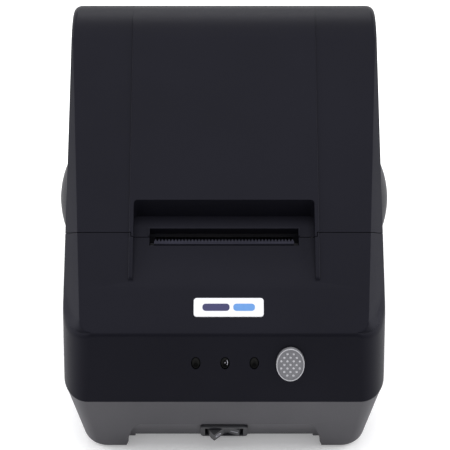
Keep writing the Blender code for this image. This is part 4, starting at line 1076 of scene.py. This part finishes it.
cheek = Vector((4.71, -2.22)).normalized()
circle_mark = hoop(oval((0, 0), (1.5, 1.5), 32), oval((0, 0), (1.0, 1.0), 32), -0.06, 0.04)
marks = (
    ("rocker_mark_off", -1, circle_mark),
    ("rocker_mark_on", 1, prism(rounded((-1.7, -0.28), (1.7, 0.28), 0.25), -0.06, 0.04, "z")),
)
for name, side, shape in marks:
    middle = Vector((side * 0.9, -3.2)) + Vector((side * cheek.x, cheek.y)) * 3.0
    face = matrix_of(
        (middle.x, 0.0, middle.y), (side * cheek.x, 0.0, cheek.y),
        (0.0, 1.0, 0.0), (side * cheek.y, 0.0, -cheek.x),
    )
    mark = piece(name, laid(shape, ROCKER @ face), white_ink)
    soft_edges(mark, 0.0)
    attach(mark, "rocker")

# ---------------------------------------------------------------- screws
# Zinc-plated thread-forming screws with a cross recess: four up through the base, four in the
# main board, two in the mechanism and two in the lid. All come from one turned and headed form.

zinc = metal("zinc_plated_steel", ("#a3a5a8", "#b7b9bb"), (0.26, 0.4), 0.5)
fastener, pins = tree_with("cross_head_screw", "Head radius", "Head height", "Shank radius", "Length")
head = wire(fastener, "GeometryNodeMeshCylinder", {
    "Vertices": 24, "Radius": pins["Head radius"], "Depth": pins["Head height"],
})
shank = wire(fastener, "GeometryNodeMeshCylinder", {
    "Vertices": 16, "Radius": pins["Shank radius"], "Depth": pins["Length"],
})
lowered = []
for solid, length in ((head, "Head height"), (shank, "Length")):
    down = wire(fastener, "ShaderNodeVectorMath", {
        0: pins[length], 1: (0.0, 0.0, -0.5),
    }, operation="MULTIPLY")
    lowered.append(wire(fastener, "GeometryNodeTransform", {"Geometry": solid, "Translation": down}))
tall = wire(fastener, "ShaderNodeVectorMath", {
    0: pins["Head height"], 1: (0.0, 0.0, 1.2),
}, operation="MULTIPLY")
blade_size = wire(fastener, "ShaderNodeVectorMath", {
    0: pins["Head radius"], 1: (1.15, 0.26, 0.0), 2: tall,
}, operation="MULTIPLY_ADD")
blades = []
for turn in (0.0, pi / 2):
    blade = wire(fastener, "GeometryNodeMeshCube", {"Size": blade_size})
    crossed = {"Geometry": blade, "Rotation": (0.0, 0.0, turn)}
    blades.append(wire(fastener, "GeometryNodeTransform", crossed))
slots = wire(fastener, "GeometryNodeJoinGeometry", {"Geometry": blades})
driven = wire(fastener, "GeometryNodeMeshBoolean", {
    "Mesh 1": lowered[0], "Mesh 2": slots,
}, operation="DIFFERENCE")
whole = wire(fastener, "GeometryNodeJoinGeometry", {"Geometry": [driven, lowered[1]]})
facing_up = wire(fastener, "GeometryNodeInputNormal")
align = wire(fastener, "FunctionNodeAlignRotationToVector", {"Vector": facing_up}, axis="Z")
placed = wire(fastener, "GeometryNodeInstanceOnPoints", {
    "Points": pins["Shape"], "Instance": whole, "Rotation": align,
})
ends_with(fastener, placed, pins["Finish"])


def mirrored(*places):
    return [(side * x, y) for x, y in places for side in (-1, 1)]


SCREWS = (
    ("base_screws", "casing", mirrored(*SCREW_POSTS), 15.7, -1, (2.7, 1.3, 26.0)),
    ("board_screws", "casing", BOARD_SCREWS, 15.5, 1, (2.6, 0.9, 5.5)),
    ("mech_screws", "casing", mirrored(FRAME_POST), 33.5, 1, (2.7, 0.9, 8.0)),
    ("cover_screws", "cover", mirrored(BOSSES), 76.8, -1, (2.7, 1.1, 9.0)),
)
for name, body, seats, height, facing, (head_r, shank_r, length) in SCREWS:
    seats_mesh = bpy.data.meshes.new(name)
    corners = []
    for x, y in seats:
        for a in (0.0, 2 * pi / 3, 4 * pi / 3):
            corners.append(in_place((x + 0.1 * cos(a), y + facing * 0.1 * sin(a), height)))
    seats_mesh.from_pydata(corners, [], [(3 * i, 3 * i + 1, 3 * i + 2) for i in range(len(seats))])
    made = added(name, seats_mesh)
    grow(made, fastener, zinc, {
        "Head radius": head_r, "Head height": 1.6, "Shank radius": shank_r, "Length": length,
    })
    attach(made, body)
    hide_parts(*sorted(n for n in cad if n.startswith(name[:-1])))

# ---------------------------------------------------------------- springs of the print head
# Two short steel compression springs press the print head towards the platen.

coil, pins = tree_with("wound_spring", "Radius", "Wire", "Turn count", "Length")
spiral = wire(coil, "GeometryNodeCurveSpiral", {
    "Resolution": 24, "Rotations": pins["Turn count"], "Start Radius": pins["Radius"],
    "End Radius": pins["Radius"], "Height": pins["Length"],
})
section = wire(coil, "GeometryNodeCurvePrimitiveCircle", {"Resolution": 8, "Radius": pins["Wire"]})
wound = wire(coil, "GeometryNodeCurveToMesh", {
    "Curve": spiral, "Profile Curve": section, "Fill Caps": True,
})
laid_down = wire(coil, "GeometryNodeTransform", {"Geometry": wound, "Rotation": (-pi / 2, 0.0, 0.0)})
seat = wire(coil, "GeometryNodeInstanceOnPoints", {"Points": pins["Shape"], "Instance": laid_down})
ends_with(coil, seat, pins["Finish"])
WIRE_R = 0.3
for name in ("head_spring_left", "head_spring_right"):
    corners = [cad[name].matrix_world @ vertex.co for vertex in cad[name].data.vertices]
    low, high = (Vector([end(corner[i] for corner in corners) for i in range(3)]) for end in (min, max))
    start = bpy.data.meshes.new(name + "_coil")
    start.from_pydata([((low.x + high.x) / 2, low.y, (low.z + high.z) / 2)], [], [])
    made = added(name + "_coil", start)
    grow(made, coil, zinc, {
        "Radius": (high.x - low.x) * 500 - WIRE_R, "Wire": WIRE_R, "Turn count": 6,
        "Length": (high.y - low.y) * 1000 - 0.05,
    })
    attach(made, "casing")
    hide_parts(name)

# ---------------------------------------------------------------- inner parts
# The sockets, boards, mechanism, gears and paper well keep the sizes of the CAD. Their facets
# are welded and smoothed here, and each gets the finish of the stuff it is really made of.

inner_abs = moulded("graphite_inner_abs", ("#26262b", "#2f2f35"), (0.48, 0.6), 0.5, 0.012, 0.25)
solder_mask = printed("green_solder_mask", "#1d4a2c", "#25593a")
acetal = moulded("white_acetal", ("#d4d2c8", "#e0ded5"), (0.34, 0.46), 0.8, 0.004, 0.4)
foot_rubber = moulded("dark_foot_rubber", ("#151517", "#1c1c1f"), (0.75, 0.9), 0.4, 0.02, 0.2)
platen_rubber = moulded("ground_platen_rubber", ("#232325", "#2b2b2e"), (0.6, 0.75), 0.25, 0.008, 0.25)
steel_sheet = metal("galvanised_sheet", ("#9a9c9f", "#b0b2b4"), (0.3, 0.48), 0.7)
bare_aluminium = metal("milled_aluminium", ("#b9bbbd", "#cacbcc"), (0.24, 0.4), 0.3)
flat_cable = moulded("white_flat_cable", ("#c9cacc", "#d6d7d8"), (0.4, 0.5), 1.0, 0.006, 0.35)
glazed = moulded("glazed_head_ceramic", ("#8d7f6a", "#9c8d77"), (0.18, 0.3), 1.2, 0.002, 0.5)
FINISHES = (
    (inner_abs, "paper_bucket cover_liner"),
    (solder_mask, "main_board panel_board"),
    (nylon, "dc_jack drawer_socket tact_switch paper_sensor"),
    (steel_sheet, "usb_socket mech_frame stepper_motor"),
    (zinc, "gear_axle platen_shaft motor_pinion hinge_pin_left hinge_pin_right"),
    (flat_cable, "head_cable"),
    (bare_aluminium, "head_heatsink"),
    (glazed, "thermal_head"),
    (platen_rubber, "platen_roller"),
    (acetal, "platen_gear reduction_gear platen_bush_left platen_bush_right"),
    (foot_rubber, "rubber_foot_1 rubber_foot_2 rubber_foot_3 rubber_foot_4"),
)
smoother = bpy.data.node_groups.new("weld_and_smooth", "GeometryNodeTree")
for way in ("INPUT", "OUTPUT"):
    smoother.interface.new_socket("Shape", in_out=way, socket_type="NodeSocketGeometry")
raw = wire(smoother, "NodeGroupInput")
plain = wire(smoother, "GeometryNodeRemoveAttribute", {"Geometry": raw, "Name": "custom_normal"})
welded = wire(smoother, "GeometryNodeMergeByDistance", {"Geometry": plain, "Distance": 0.00001})
smooth = wire(smoother, "GeometryNodeSetShadeSmooth", {"Geometry": welded, "Shade Smooth": True})
bend = wire(smoother, "GeometryNodeInputMeshEdgeAngle")
hard = wire(smoother, "FunctionNodeCompare", {0: bend, 1: radians(32)}, operation="GREATER_THAN")
creased = wire(smoother, "GeometryNodeSetShadeSmooth", {
    "Geometry": smooth, "Selection": hard, "Shade Smooth": False,
}, domain="EDGE")
wire(smoother, "NodeGroupOutput", {"Shape": creased})
for finish, names in FINISHES:
    for name in names.split():
        cad[name].data.materials.clear()
        cad[name].data.materials.append(finish)
        cad[name].modifiers.new("weld_and_smooth", "NODES").node_group = smoother
